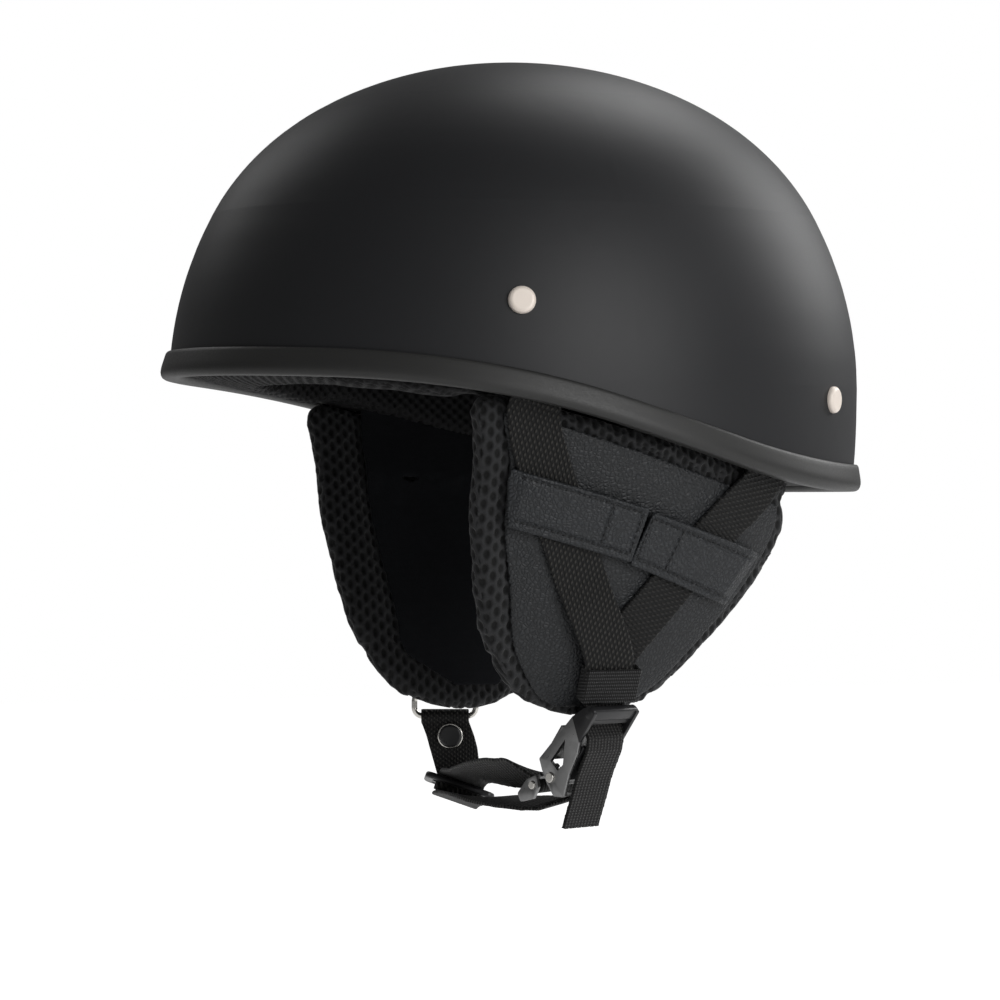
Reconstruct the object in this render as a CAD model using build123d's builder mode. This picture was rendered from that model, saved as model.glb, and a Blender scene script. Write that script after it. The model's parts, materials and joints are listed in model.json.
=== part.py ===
from build123d import *
from math import cos, hypot, pi, radians, sin, sqrt
import os

os.makedirs("parts", exist_ok=True)

# Clearances
gap = 0.3
fit = 0.05
overrun = 5

# Shell, measured from the brow plane, where it is widest
shell_half_width = 114
shell_half_length = 141
shell_rise = 129.6
shell_skirt = 52
shell_wall = 4
roundness_share = 2.16
skirt_share = 0.975

# Rim, seen from the side
rim_front_height = 3.7
rim_rear_drop = 41
rim_shares = ((-1.07, 0), (-0.78, 0.047), (-0.035, 0.456), (0.326, 0.781), (0.816, 1), (1.07, 1))

# Edge trim
trim_height = 10.8
trim_proud = 2.4
trim_lip = 1.8
trim_floor = 2.2
trim_gap = 0.15

# Foam and comfort layers
foam_wall = 18
crown_wall = 5
band_wall = 7.5
band_height = 32
band_hang = 2.5
crown_gap = 1.5
nape_start = 74
nape_hang = 4

# Webbing, rivets and washers
web_width = 20
web = 1.5
rivet_front_y = -43.5
rivet_front_z = 29.5
rivet_rear_y = 99.5
rivet_rear_z = -5.3
rivet_head = 10.5
rivet_head_height = 2.2
rivet_shank = 4.8
washer_diameter = 13
washer = 1.2
strap_top = 9

# Ear flap, in the side view and in plan
flap_drop = 127
flap_front = 54.5
flap_rear = 84
flap_top_inset = 17
flap_bottom_inset = 53
flap_spread_depth = 10
flap_thickness = 16
flap_edge = 8.4
flap_tip_share = 0.8
flap_face = 1.2
flap_border = 10
flap_rear_border = 4
lining = 1
lining_border = 17

# Depth, slope towards the rear, front and rear reach and fullness of each level of the flap
flap_shares = (
    (0.138, 0.25, 0.975, 0.99, 1),
    (0.27, 0.2, 1, 0.965, 1),
    (0.41, 0.15, 0.985, 0.923, 1),
    (0.54, 0.1, 0.945, 0.832, 1),
    (0.66, 0.06, 0.886, 0.717, 1),
    (0.77, 0.03, 0.805, 0.585, 0.95),
    (0.86, 0, 0.66, 0.47, 0.86),
    (0.93, 0, 0.51, 0.355, 0.74),
    (0.975, 0, 0.285, 0.235, 0.56),
    (1, 0, 0.06, 0.1, 0.34),
)
flap_lean_share = 0.87

# Tabs that hold the webbing on the flap
tab_width = 22
tab = 2.2
tab_front_y = -44
tab_front_z = -45
tab_meet_y = 11.5
tab_meet_z = -58.5
tab_rear_y = 60
tab_rear_z = -74.5
tab_split = 2
patch = 0.8
patch_length = 6

# Keeper in which the two straps meet
keeper_y = 4.4
right_keeper_y = 0.4
keeper_z = -112.2
keeper_height = 14
keeper_wall = 1.2
keeper_slot = 4.2
keeper_room = 1.5

# Buckle on the left strap
buckle_inset = 39.1
buckle_y = 5.5
buckle_z = -126.2
buckle_lean = 53
buckle_turn = 22.6
buckle_inner = 22
cheek = 1.6
block_top = 4
bar = 3.2
bar_pitch = 4.6
floor = 1.4
floor_top = 6.8
pin_along = 30.7
pin_diameter = 4
pin_head = 0.6
lever_plate = 1.6
lever_hub = 3.2
lever_start = 12
lever_depth = 5.4
hub_half = 5
tooth_half = 2.2
tooth_length = 2.2
tooth_reach = 5.6
spring_wire = 0.7
spring_turns = 3
tongue_pin_along = 39.5
tongue_pin_up = 5.9
tongue_pin_diameter = 3.2
tongue_plate = 1.5
tongue_nose = 29.5
fork_half = 9.5
tongue_rise = 4.9
fork_slot = 7
tail_length = 44
tail_end_shift = 15

# Ring, hanging web and slider on the right
ring_inset = 38.2
ring_y = -0.2
ring_z = -130
ring_turn = 23
ring_wire = 2.4
ring_width = 28
ring_height = 12
ring_corner = 3.5
snap_drop = 8.2
snap_shift = 2.2
snap_diameter = 9.5
snap = 1.6
snap_post = 4
slider_inset = 42
slider_y = 4.6
slider_z = -164.4
slider_roll = 19
slider_length = 30
slider_width = 19
slider = 2.6
slider_bar = 4
slider_slot = 4.6
slider_slot_length = 22
slider_corner = 3
chin_arm = 38
chin_sag = 3
free_end_inset = 68
free_end_y = 1
free_end_z = -163

dome_step_shares = (0, 0.33, 0.66, 1)
chin_step_shares = (0.12, 0.25, 0.38, 0.5, 0.62, 0.75, 0.88, 1)
length_share = shell_half_length / shell_half_width
half_pi = pi / 2


# Outline of one layer of the dome, as arcs from its lowest edge up to its crown
def dome_outline(inset):
    reach = shell_half_width - inset
    rise = shell_rise - inset
    points = []
    for step_share in dome_step_shares:
        angle = half_pi * step_share
        out = cos(angle) ** (2 / roundness_share) if step_share < 1 else 0
        points.append((reach * out, rise * sin(angle) ** (2 / roundness_share)))
    skirt = TangentArc(points[0], (reach * skirt_share, -shell_skirt), tangent=(0, -1))
    heading = Vector(0, 1)
    for start, end in zip(points, points[1:]):
        arc = TangentArc(start, end, tangent=heading)
        heading = arc % 1
    return skirt @ 1, arc @ 1


# One layer of the dome between two insets, as long as the shell is for its width
def dome_layer(inset, wall, low=None, high=None):
    with BuildPart() as layer:
        with BuildSketch(Plane.XZ):
            with BuildLine():
                outer_ends = dome_outline(inset)
                inner_ends = dome_outline(inset + wall)
                Line(outer_ends[0], inner_ends[0])
                Line(outer_ends[1], inner_ends[1])
            make_face()
            if high is not None:
                with Locations((shell_half_width / 2, (low + high) / 2)):
                    Rectangle(shell_half_width + overrun, high - low, mode=Mode.INTERSECT)
        revolve(axis=Axis.Z)
        scale(by=(1, length_share, 1))
    return layer.part


# All that lies above or below the rim's outline, moved up by a shift
def rim_side(shift, above):
    points = []
    for reach, drop in rim_shares:
        height = rim_front_height - drop * (rim_front_height + rim_rear_drop)
        points.append((reach * shell_half_length, height + shift))
    limit = shell_rise + overrun if above else -(flap_drop + overrun)
    with BuildPart() as block:
        with BuildSketch(Plane.YZ):
            with BuildLine():
                piece = Line(points[0], points[1])
                for start, end in zip(points[1:-2], points[2:-1]):
                    piece = TangentArc(start, end, tangent=piece % 1)
                Line(points[-2], points[-1])
                Polyline(points[-1], (points[-1][0], limit), (points[0][0], limit), points[0])
            make_face()
        extrude(amount=shell_half_width + overrun, both=True)
    return block.part


def shape_less(body, *cutters):
    with BuildPart() as cut:
        add(body)
        for cutter in cutters:
            add(cutter, mode=Mode.SUBTRACT)
    return cut.part


# Where a line out along X leaves a solid last, with the outward normal there
def face_point(solid, y, z, last=True):
    hits = solid.find_intersection_points(Axis((0, y, z), (1, 0, 0)))
    hits = [hit for hit in hits if hit[0].X > 0]
    hits.sort(key=lambda hit: hit[0].X)
    point, normal = hits[-1] if last else hits[0]
    if normal.X < 0:
        normal = -normal
    return point, normal


# The way through each station of a path
def path_ways(centres):
    ways = []
    for index in range(len(centres)):
        before = centres[max(index - 1, 0)]
        after = centres[min(index + 1, len(centres) - 1)]
        ways.append((after - before).normalized())
    return ways


# A flat band through stations of a centre and an outward direction
def ribbon(centres, outs, width, thickness, ways=None):
    with BuildPart() as band:
        for centre, out, way in zip(centres, outs, ways or path_ways(centres)):
            side = out.cross(way).normalized()
            with BuildSketch(Plane(origin=centre, x_dir=side, z_dir=way)):
                Rectangle(width, thickness)
        loft(ruled=True)
    return band.part


def name_and_write(solid, label):
    solid.label = label
    export_step(solid, "parts/" + label + ".step")


# Shell
whole_shell = dome_layer(0, shell_wall)
shell_body = shape_less(whole_shell, rim_side(trim_floor, False))

rivet_places = ((rivet_front_y, rivet_front_z), (rivet_rear_y, rivet_rear_z))
rivet_planes = []
for place_y, place_z in rivet_places:
    spot, normal = face_point(whole_shell, place_y, place_z)
    rivet_planes.append(Plane(origin=spot, z_dir=normal))
    mirrored = Vector(-spot.X, spot.Y, spot.Z)
    rivet_planes.append(Plane(origin=mirrored, z_dir=Vector(-normal.X, normal.Y, normal.Z)))

with BuildPart() as rivet_holes:
    for plane in rivet_planes:
        with BuildSketch(plane):
            Circle(rivet_shank / 2 + fit)
        extrude(amount=shell_wall * 2, both=True)

shell = shape_less(shell_body, rivet_holes.part)
name_and_write(shell, "shell")

# Rivets with domed heads and the washers behind them
strap_inset = 2 * gap + web / 2
washer_top = shell_wall + 2 * gap + web + 3 * gap
with BuildPart() as strap_rivets:
    for plane in rivet_planes:
        with BuildSketch(plane):
            Circle(rivet_head / 2)
        extrude(amount=rivet_head_height)
        with BuildSketch(plane):
            Circle(rivet_shank / 2)
        extrude(amount=-(washer_top + washer + gap))
        with BuildSketch(plane.offset(-(washer_top + washer + gap))):
            Circle(rivet_shank * 0.8)
        extrude(amount=-washer)
    heads = strap_rivets.faces().filter_by(GeomType.PLANE).filter_by(
        lambda face: abs(face.area - pi * (rivet_head / 2) ** 2) < face.area / 100
    )
    fillet(heads.edges(), rivet_head_height * 0.75)
name_and_write(strap_rivets.part, "strap_rivets")

with BuildPart() as rivet_washers:
    for plane in rivet_planes:
        with BuildSketch(plane.offset(-washer_top)):
            Circle(washer_diameter / 2)
            Circle(rivet_shank / 2 + fit, mode=Mode.SUBTRACT)
        extrude(amount=-washer)
name_and_write(rivet_washers.part, "rivet_washers")

# Edge trim, a channel that grips the shell's edge
trim_band = dome_layer(-trim_proud, trim_proud + shell_wall + trim_lip, -shell_skirt, trim_height * 2.5)
trim_groove = dome_layer(-trim_gap, shell_wall + 2 * trim_gap, -shell_skirt + gap, trim_height * 2)
trim_groove = shape_less(trim_groove, rim_side(trim_floor - trim_gap, False))
edge_trim = shape_less(trim_band, rim_side(0, False), rim_side(trim_height, True), trim_groove)
name_and_write(edge_trim, "edge_trim")

# Half the distance between the two flaps at a height, and what the plan curve leaves of it


def flap_spread(z):
    depth_share = (-z - flap_spread_depth) / (flap_drop - flap_spread_depth)
    depth_share = min(1, max(0, depth_share))
    widening = (1 - depth_share) ** flap_lean_share
    return shell_half_width - flap_bottom_inset + widening * (flap_bottom_inset - flap_top_inset)


def plan_share(y):
    return sqrt(1 - (y / shell_half_length) ** 2)


def circle_through(first, second, third):
    ax, ay = first
    bx, by = second
    cx, cy = third
    turn = 2 * (ax * (by - cy) + bx * (cy - ay) + cx * (ay - by))
    a2 = ax * ax + ay * ay
    b2 = bx * bx + by * by
    c2 = cx * cx + cy * cy
    centre_x = (a2 * (by - cy) + b2 * (cy - ay) + c2 * (ay - by)) / turn
    centre_y = (a2 * (cx - bx) + b2 * (ax - cx) + c2 * (bx - ax)) / turn
    side = 1 if bx > centre_x else -1
    return centre_x, centre_y, hypot(ax - centre_x, ay - centre_y), side


# One level of the flap on its sloping plane, with the circles of its two faces
def flap_level(row):
    depth, slope, front, rear, full = row
    edge = flap_edge / 2 * full
    bulge = flap_thickness / 2 * full
    stretch = sqrt(1 + slope * slope)
    level = {"tip": edge * flap_tip_share, "full": full}
    level["plane"] = Plane(origin=(0, 0, -depth * flap_drop), x_dir=(1, 0, 0), z_dir=(0, slope, 1))
    front_y = -front * flap_front + level["tip"]
    rear_y = rear * flap_rear - level["tip"]
    places = []
    for y, half in ((front_y, edge), ((front_y + rear_y) / 2, bulge), (rear_y, edge)):
        x = flap_spread(-depth * flap_drop - slope * y) * plan_share(y)
        places.append((x, y * stretch, half))
    level["front"], level["rear"] = places[0][1], places[2][1]
    level["mid"] = [x for x, y, half in places]
    level["outer"] = circle_through(*[(x + half, y) for x, y, half in places])
    level["inner"] = circle_through(*[(x - half, y) for x, y, half in places])
    return level


flap_levels = [flap_level(row) for row in flap_shares]


def arc_point(circle, y, off):
    centre_x, centre_y, radius, side = circle
    return (centre_x + side * sqrt((radius + side * off) ** 2 - (y - centre_y) ** 2), y)


# Padded flap, crowned on both faces and drawn in at its edges
with BuildPart() as flap_pad:
    for level in flap_levels:
        front, rear = level["front"], level["rear"]
        middle = (front + rear) / 2
        outer = [arc_point(level["outer"], y, 0) for y in (front, middle, rear)]
        inner = [arc_point(level["inner"], y, 0) for y in (rear, middle, front)]
        with BuildSketch(level["plane"]):
            with BuildLine():
                ThreePointArc(*outer)
                ThreePointArc(outer[2], (level["mid"][2], rear + level["tip"]), inner[0])
                ThreePointArc(*inner)
                ThreePointArc(inner[2], (level["mid"][0], front - level["tip"]), outer[0])
            make_face()
    loft()
flap_guide = flap_pad.part


# Thin panel that follows the flap's outer or inner face
def flap_panel(side, levels, front_border, rear_border, near, far):
    with BuildPart() as panel:
        for level in levels:
            start = level["front"] + front_border * level["full"] ** 3
            end = level["rear"] - rear_border
            short = max(0, (front_border + rear_border) * 1.5 - (end - start))
            start -= short * 0.5
            end += short * 0.3
            middle = (start + end) / 2
            first = [arc_point(level[side], y, near) for y in (start, middle, end)]
            second = [arc_point(level[side], y, far) for y in (end, middle, start)]
            with BuildSketch(level["plane"]):
                with BuildLine():
                    ThreePointArc(*first)
                    Line(first[2], second[0])
                    ThreePointArc(*second)
                    Line(second[2], first[0])
                make_face()
        loft()
    return panel.part


face_near = gap
face_far = gap + flap_face
left_flap_face = flap_panel(
    "outer", flap_levels[:-1], flap_border, flap_rear_border, face_near, face_far
)
left_flap_lining = flap_panel(
    "inner", flap_levels[:-2], lining_border, lining_border, -gap, -gap - lining
)


def write_pair(left_solid, label):
    right_solid = mirror(left_solid, about=Plane.YZ)
    name_and_write(left_solid, "left_" + label)
    name_and_write(right_solid, "right_" + label)


write_pair(flap_guide, "ear_flap")
write_pair(left_flap_face, "flap_face")
write_pair(left_flap_lining, "flap_lining")

# Webbing from each rivet to the keeper: share of the way in y and z, and how it lies.
# Above the rim it lies an inset inside the shell, and below it a lift off the flap.
face_top = gap + flap_face
lie_flat = face_top + gap + web / 2
lie_over = lie_flat + web + gap
keeper_lift = face_top + gap + keeper_wall + keeper_slot / 2
wall_free = trim_lip + trim_gap + gap + web / 2
stacked = web / 2 + gap

front_wall_shares = ((-0.035, -strap_top, 0), (0, 0, 0), (0.035, 0.05, 0), (0.1, 0.14, 1), (0.17, 0.235, 1))
front_face_shares = (
    (0.27, 0.36, 0),
    (0.44, 0.5, 0),
    (0.65, 0.663, 0),
    (0.74, 0.73, 0),
    (0.815, 0.79, 1.05),
    (0.93, 0.88, 1.6),
    (0.985, 0.93, 2.05),
)
rear_wall_shares = ((-0.06, -strap_top, 0), (0, 0, 0), (0.06, 0.043, 0), (0.14, 0.1, 1), (0.29, 0.22, 1))
rear_face_shares = ((0.44, 0.345, 1), (0.52, 0.415, 0), (0.6, 0.485, 0), (0.795, 0.69, 0), (0.92, 0.825, 0))
dense_shares = (0, 1 / 3, 2 / 3)


# More stations on the straight lines between the given ones
def dense(rows):
    filled = []
    for row, after in zip(rows, rows[1:]):
        for way in dense_shares:
            filled.append([start + (end - start) * way for start, end in zip(row, after)])
    return filled + [rows[-1]]


def wall_station(y, z, inset):
    spot, normal = face_point(whole_shell, y, z, last=False)
    return spot - normal * inset, normal


def strap_stations(start, end, wall_shares, face_shares):
    centres, outs = [], []
    for y_share, z_share, slack in wall_shares:
        y = start[0] + (end[0] - start[0]) * y_share
        z = start[1] + (end[1] - start[1]) * z_share if z_share >= 0 else start[1] - z_share
        centre, out = wall_station(y, z, strap_inset + slack * (wall_free - strap_inset))
        centres.append(centre)
        outs.append(out)
    for y_share, z_share, over in dense(face_shares):
        y = start[0] + (end[0] - start[0]) * y_share
        z = start[1] + (end[1] - start[1]) * z_share
        spot, out = face_point(flap_guide, y, z)
        centres.append(spot + out * (lie_flat + over * (lie_over - lie_flat)))
        outs.append(out)
    return centres, outs


# A strap, turned into its keeper at the end, and the channel that it needs in the foam
def strap_and_channel(start, end, wall_shares, face_shares, ending, out, down):
    centres, outs = strap_stations(start, end, wall_shares, face_shares)
    ways = path_ways(centres + ending)[: len(centres)] + [down] * len(ending)
    centres += ending
    outs += [out] * len(ending)
    strap = ribbon(centres, outs, web_width, web, ways)
    walls = len(wall_shares) + 1
    inward = [centre - out * gap for centre, out in zip(centres[:walls], outs[:walls])]
    inward.insert(0, inward[0] + (inward[0] - inward[1]).normalized() * web)
    channel = ribbon(inward, [outs[0]] + outs[:walls], web_width + 3 * gap, web + 6 * gap)
    return shape_less(strap, rivet_holes.part), channel


# Centre of a keeper on the flap, the way out of it and the way down along the flap
def keeper_frame(y):
    spot, out = face_point(flap_guide, y, keeper_z)
    down = Vector(0, 0, -1)
    return spot + out * keeper_lift, out, (down - out * down.dot(out)).normalized()


def keeper_solid(y):
    centre, out, down = keeper_frame(y)
    plane = Plane(origin=centre, x_dir=out.cross(down), z_dir=down)
    with BuildPart() as keeper:
        with BuildSketch(plane):
            Rectangle(web_width + 2 * keeper_room + 2 * keeper_wall, keeper_slot + 2 * keeper_wall)
            Rectangle(web_width + 2 * keeper_room, keeper_slot, mode=Mode.SUBTRACT)
        extrude(amount=keeper_height / 2, both=True)
        fillet(keeper.edges().filter_by(Axis(centre, down)), keeper_wall * 0.4)
    return keeper.part


channels = []
for side_name, side_y in (("left_", keeper_y), ("right_", right_keeper_y)):
    keeper_at, out, down = keeper_frame(side_y)
    side_end = (side_y, keeper_z)
    under = keeper_at - out * stacked - down * keeper_height / 2
    front_ending = [keeper_at + out * stacked]
    rear_ending = [under - down * web, under + down * 2 * web]
    front_strap, front_channel = strap_and_channel(
        rivet_places[0], side_end, front_wall_shares, front_face_shares, front_ending, out, down
    )
    rear_strap, rear_channel = strap_and_channel(
        rivet_places[1], side_end, rear_wall_shares, rear_face_shares, rear_ending, out, down
    )
    pieces = [front_strap, rear_strap, keeper_solid(side_y), front_channel, rear_channel]
    if side_name == "right_":
        pieces = [mirror(piece, about=Plane.YZ) for piece in pieces]
    name_and_write(pieces[0], side_name + "front_strap")
    name_and_write(pieces[1], side_name + "rear_strap")
    name_and_write(pieces[2], side_name + "strap_keeper")
    channels += pieces[3:]

# Foam liner with channels for the webbing and pockets for the washers
with BuildPart() as washer_pockets:
    for plane in rivet_planes:
        with BuildSketch(plane.offset(-shell_wall)):
            Circle(washer_diameter / 2 + gap)
        extrude(amount=-(washer_top - shell_wall + 2 * washer + 3 * gap))

foam_edge = trim_floor + gap
foam_layer = dome_layer(shell_wall + gap, foam_wall)
trim_room = dome_layer(0, shell_wall + trim_lip + gap, -shell_skirt, trim_height * 2.5)
trim_room = shape_less(trim_room, rim_side(trim_height + gap, True))
eps_liner = shape_less(
    foam_layer, rim_side(foam_edge, False), trim_room, washer_pockets.part, *channels
)
name_and_write(eps_liner, "eps_liner")

# Comfort lining of the crown
comfort_inset = shell_wall + gap + foam_wall + gap
crown_liner = shape_less(
    dome_layer(comfort_inset, crown_wall),
    rim_side(band_height + crown_gap + foam_edge, False),
)
name_and_write(crown_liner, "crown_liner")

# Headband and nape pad round the rim
band_low = -rim_rear_drop - nape_hang - overrun
band_high = rim_front_height + band_height + 2 * overrun
band = dome_layer(comfort_inset, band_wall, band_low, band_high)
band_top = rim_side(band_height + foam_edge, True)
with BuildPart() as front_half:
    with BuildSketch(Plane.XY.offset(band_low - overrun)):
        with Locations((0, -shell_half_length / 2 - flap_front / 2 - gap)):
            Rectangle(2 * shell_half_width, shell_half_length - flap_front)
    extrude(amount=band_high - band_low + 2 * overrun)
with BuildPart() as rear_half:
    with BuildSketch(Plane.XY.offset(band_low - overrun)):
        with Locations((0, nape_start + shell_half_length / 2)):
            Rectangle(2 * shell_half_width, shell_half_length)
    extrude(amount=band_high - band_low + 2 * overrun)

band_low_edge = shape_less(rim_side(foam_edge, False), front_half.part)
with BuildPart() as headband_shape:
    add(band)
    add(band_top, mode=Mode.SUBTRACT)
    add(band_low_edge, mode=Mode.SUBTRACT)
    add(rim_side(-band_hang, False), mode=Mode.SUBTRACT)
    add(rear_half.part, mode=Mode.SUBTRACT)
name_and_write(headband_shape.part, "headband")

with BuildPart() as nape_pad:
    add(band)
    add(rear_half.part, mode=Mode.INTERSECT)
    add(band_top, mode=Mode.SUBTRACT)
    add(rim_side(-nape_hang, False), mode=Mode.SUBTRACT)
name_and_write(nape_pad.part, "nape_pad")

# Tabs across the webbing, sewn to the flap at one end and held by a patch at the other
tab_lift = lie_flat + web / 2 + gap + tab / 2
tab_root_lift = face_top + gap + tab / 2
tab_step_shares = (0, 0.11, 0.25, 0.4, 0.55, 0.7, 0.85, 1)


def tab_frame(y, z, lift):
    spot, out = face_point(flap_guide, y, z)
    return spot + out * lift, out


def flap_tab(root_y, root_z):
    centres, outs = [], []
    run = 1 - tab_split / 2 / hypot(root_y - tab_meet_y, root_z - tab_meet_z)
    for step_share in tab_step_shares:
        y = root_y + (tab_meet_y - root_y) * step_share * run
        z = root_z + (tab_meet_z - root_z) * step_share * run
        rise = min(1, step_share / tab_step_shares[1])
        centre, out = tab_frame(y, z, tab_root_lift + rise * (tab_lift - tab_root_lift))
        centres.append(centre)
        outs.append(out)
    return ribbon(centres, outs, tab_width, tab)


write_pair(flap_tab(tab_front_y, tab_front_z), "front_tab")
write_pair(flap_tab(tab_rear_y, tab_rear_z), "rear_tab")


# Grip patches sewn on the flap under the free ends of the tabs
def grip_patch(root_y, root_z):
    reach = hypot(root_y - tab_meet_y, root_z - tab_meet_z)
    centres, outs = [], []
    for along in (tab_split + patch_length, tab_split + patch_length / 2, tab_split):
        y = tab_meet_y + (root_y - tab_meet_y) * along / reach
        z = tab_meet_z + (root_z - tab_meet_z) * along / reach
        centre, out = tab_frame(y, z, face_top + gap + patch / 2)
        centres.append(centre)
        outs.append(out)
    return ribbon(centres, outs, tab_width * 0.7, patch)


left_patches = [
    grip_patch(tab_front_y, tab_front_z),
    grip_patch(tab_rear_y, tab_rear_z),
]
with BuildPart() as grip_patches:
    add(left_patches)
    add([mirror(solid, about=Plane.YZ) for solid in left_patches])
name_and_write(grip_patches.part, "grip_patches")

# Buckle plane: x runs down the buckle, y towards the chin, z along the pins
lean = radians(buckle_lean)
turn = radians(buckle_turn)
buckle_down = Vector(-cos(lean) * cos(turn), -cos(lean) * sin(turn), -sin(lean))
buckle_across = Vector(-sin(turn), cos(turn), 0)
buckle_plane = Plane(
    origin=(shell_half_width - buckle_inset, buckle_y, buckle_z),
    x_dir=buckle_down,
    z_dir=buckle_across,
)
inner_half = buckle_inner / 2
outer_half = inner_half + cheek

# Housing: two windowed cheeks, a floor and the bars that the webbing is laced through
cheek_shares = (
    (-0.12, 0.08),
    (-0.04, 0.3),
    (0.15, 0.6),
    (0.93, 1.07),
    (1.01, 0.62),
    (1.09, 0),
    (1.15, -0.7),
    (1.055, -1.2),
    (0.76, -0.82),
    (0.47, -0.66),
    (0.34, -0.45),
    (-0.12, -0.45),
)
window_shares = ((0.45, 0.32), (0.83, 0.44), (0.85, -0.2), (0.73, -0.28))
cheek_height = floor_top + floor


def buckle_points(shares):
    return [(along * pin_along, up * cheek_height) for along, up in shares]


with BuildPart() as buckle_housing:
    for side in (-1, 1):
        with BuildSketch(buckle_plane.offset(side * (inner_half + cheek / 2))):
            with BuildLine():
                Polyline(*buckle_points(cheek_shares), close=True)
            make_face()
            fillet(vertices(), cheek * 0.5)
            with BuildLine():
                Polyline(*buckle_points(window_shares), close=True)
            make_face(mode=Mode.SUBTRACT)
            with Locations((pin_along, 0)):
                Circle(pin_diameter / 2 + fit, mode=Mode.SUBTRACT)
        extrude(amount=cheek / 2, both=True)
    with BuildSketch(buckle_plane):
        with Locations((pin_along * 0.64, floor_top + floor / 2)):
            Rectangle(pin_along * 0.56, floor)
        with Locations((-block_top + bar / 2, -bar / 4), (-block_top + bar / 2 + bar_pitch, -bar / 4)):
            Rectangle(bar, bar * 0.75)
            chamfer(vertices(), bar * 0.2)
    extrude(amount=inner_half + cheek * 0.25, both=True)
name_and_write(buckle_housing.part, "buckle_housing")


def buckle_pin(along, up, diameter, half):
    with BuildPart() as pin:
        with BuildSketch(buckle_plane.offset(-half)):
            with Locations((along, up)):
                Circle(diameter / 2)
        extrude(amount=2 * half)
        fillet(pin.edges().filter_by(GeomType.CIRCLE), pin_head * 0.6)
    return pin.part


name_and_write(buckle_pin(pin_along, 0, pin_diameter, outer_half + pin_head), "lever_pin")

# Release lever: a plate between the cheeks, a hub round the pin and the catch tooth
with BuildPart() as release_lever:
    with BuildSketch(buckle_plane):
        with BuildLine():
            Polyline(
                (lever_start, -lever_depth),
                (lever_start, -lever_depth + lever_plate),
                (pin_along - lever_hub, -lever_depth + lever_plate * 1.4),
                (pin_along, 0),
                (pin_along, -lever_hub + fit),
                (pin_along - lever_hub, -lever_depth - lever_plate * 0.1),
                close=True,
            )
        make_face()
    extrude(amount=inner_half - 2 * gap, both=True)
    with BuildSketch(buckle_plane):
        with Locations((pin_along, 0)):
            Circle(lever_hub)
    extrude(amount=inner_half - 2 * gap, both=True)
    with BuildSketch(buckle_plane):
        with Locations((pin_along + tooth_length / 2, tooth_reach / 2)):
            Rectangle(tooth_length, tooth_reach)
    extrude(amount=tooth_half, both=True)
    with BuildSketch(buckle_plane):
        with Locations((pin_along, 0)):
            Circle(pin_diameter / 2 + fit)
    extrude(amount=buckle_inner, both=True, mode=Mode.SUBTRACT)
    with BuildSketch(buckle_plane.offset(hub_half)):
        with Locations((pin_along, 0)):
            Circle(lever_hub + gap)
    extrude(amount=inner_half - hub_half - cheek, mode=Mode.SUBTRACT)
name_and_write(release_lever.part, "release_lever")

# Return spring wound on the pin beside the hub
spring_length = inner_half - hub_half - cheek - 2 * gap - spring_wire
spring_start = buckle_plane.origin + buckle_down * pin_along
spring_start += buckle_across * (hub_half + gap + spring_wire / 2)
with BuildPart() as lever_spring:
    with BuildLine():
        coil = Helix(
            spring_length / spring_turns,
            spring_length,
            pin_diameter / 2 + gap + spring_wire / 2,
            center=spring_start,
            direction=buckle_across,
        )
    with BuildSketch(Plane(origin=coil @ 0, z_dir=coil % 0)):
        Circle(spring_wire / 2)
    sweep(is_frenet=True)
name_and_write(lever_spring.part, "lever_spring")

# Tongue: a forked nose for the housing and two cheeks with the pin that the web goes round
tongue_shares = ((0.885, 1.12), (0.965, 0.5), (1.1, 0.4), (1.23, 1.15), (1.19, 1.7), (1, 1.6))
tongue_half = web_width / 2 + 2 * gap
with BuildPart() as buckle_tongue:
    tongue_points = [
        (along * tongue_pin_along, up * tongue_pin_up) for along, up in tongue_shares
    ]
    for side in (-1, 1):
        with BuildSketch(buckle_plane.offset(side * (tongue_half + tongue_plate / 2))):
            with BuildLine():
                Polyline(*tongue_points, close=True)
            make_face()
            fillet(vertices(), tongue_plate * 0.5)
            with Locations((tongue_pin_along, tongue_pin_up)):
                Circle(tongue_pin_diameter / 2 + fit, mode=Mode.SUBTRACT)
        extrude(amount=tongue_plate / 2, both=True)
    nose_end = tongue_pin_along - tongue_pin_diameter / 2 - web - 2 * gap
    fork_end = nose_end - tongue_plate
    with BuildSketch(buckle_plane):
        with Locations(((tongue_nose + nose_end) / 2, tongue_rise + tongue_plate / 2)):
            Rectangle(nose_end - tongue_nose, tongue_plate)
    extrude(amount=fork_half, both=True)
    with BuildSketch(buckle_plane):
        with Locations((nose_end - tongue_plate / 2, tongue_rise + tongue_plate / 2)):
            Rectangle(tongue_plate, tongue_plate)
    extrude(amount=tongue_half + gap, both=True)
    with BuildSketch(buckle_plane):
        with Locations(((tongue_nose + fork_end) / 2, tongue_rise + tongue_plate / 2)):
            Rectangle(fork_end - tongue_nose + gap, 2 * tongue_plate)
    extrude(amount=fork_slot / 2, both=True, mode=Mode.SUBTRACT)
name_and_write(buckle_tongue.part, "buckle_tongue")
name_and_write(
    buckle_pin(
        tongue_pin_along, tongue_pin_up, tongue_pin_diameter, tongue_half + tongue_plate + pin_head
    ),
    "tongue_pin",
)


# A place given along the buckle and towards the chin
def buckle_place(along, up):
    return buckle_plane.origin + buckle_down * along + buckle_plane.y_dir * up


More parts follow.
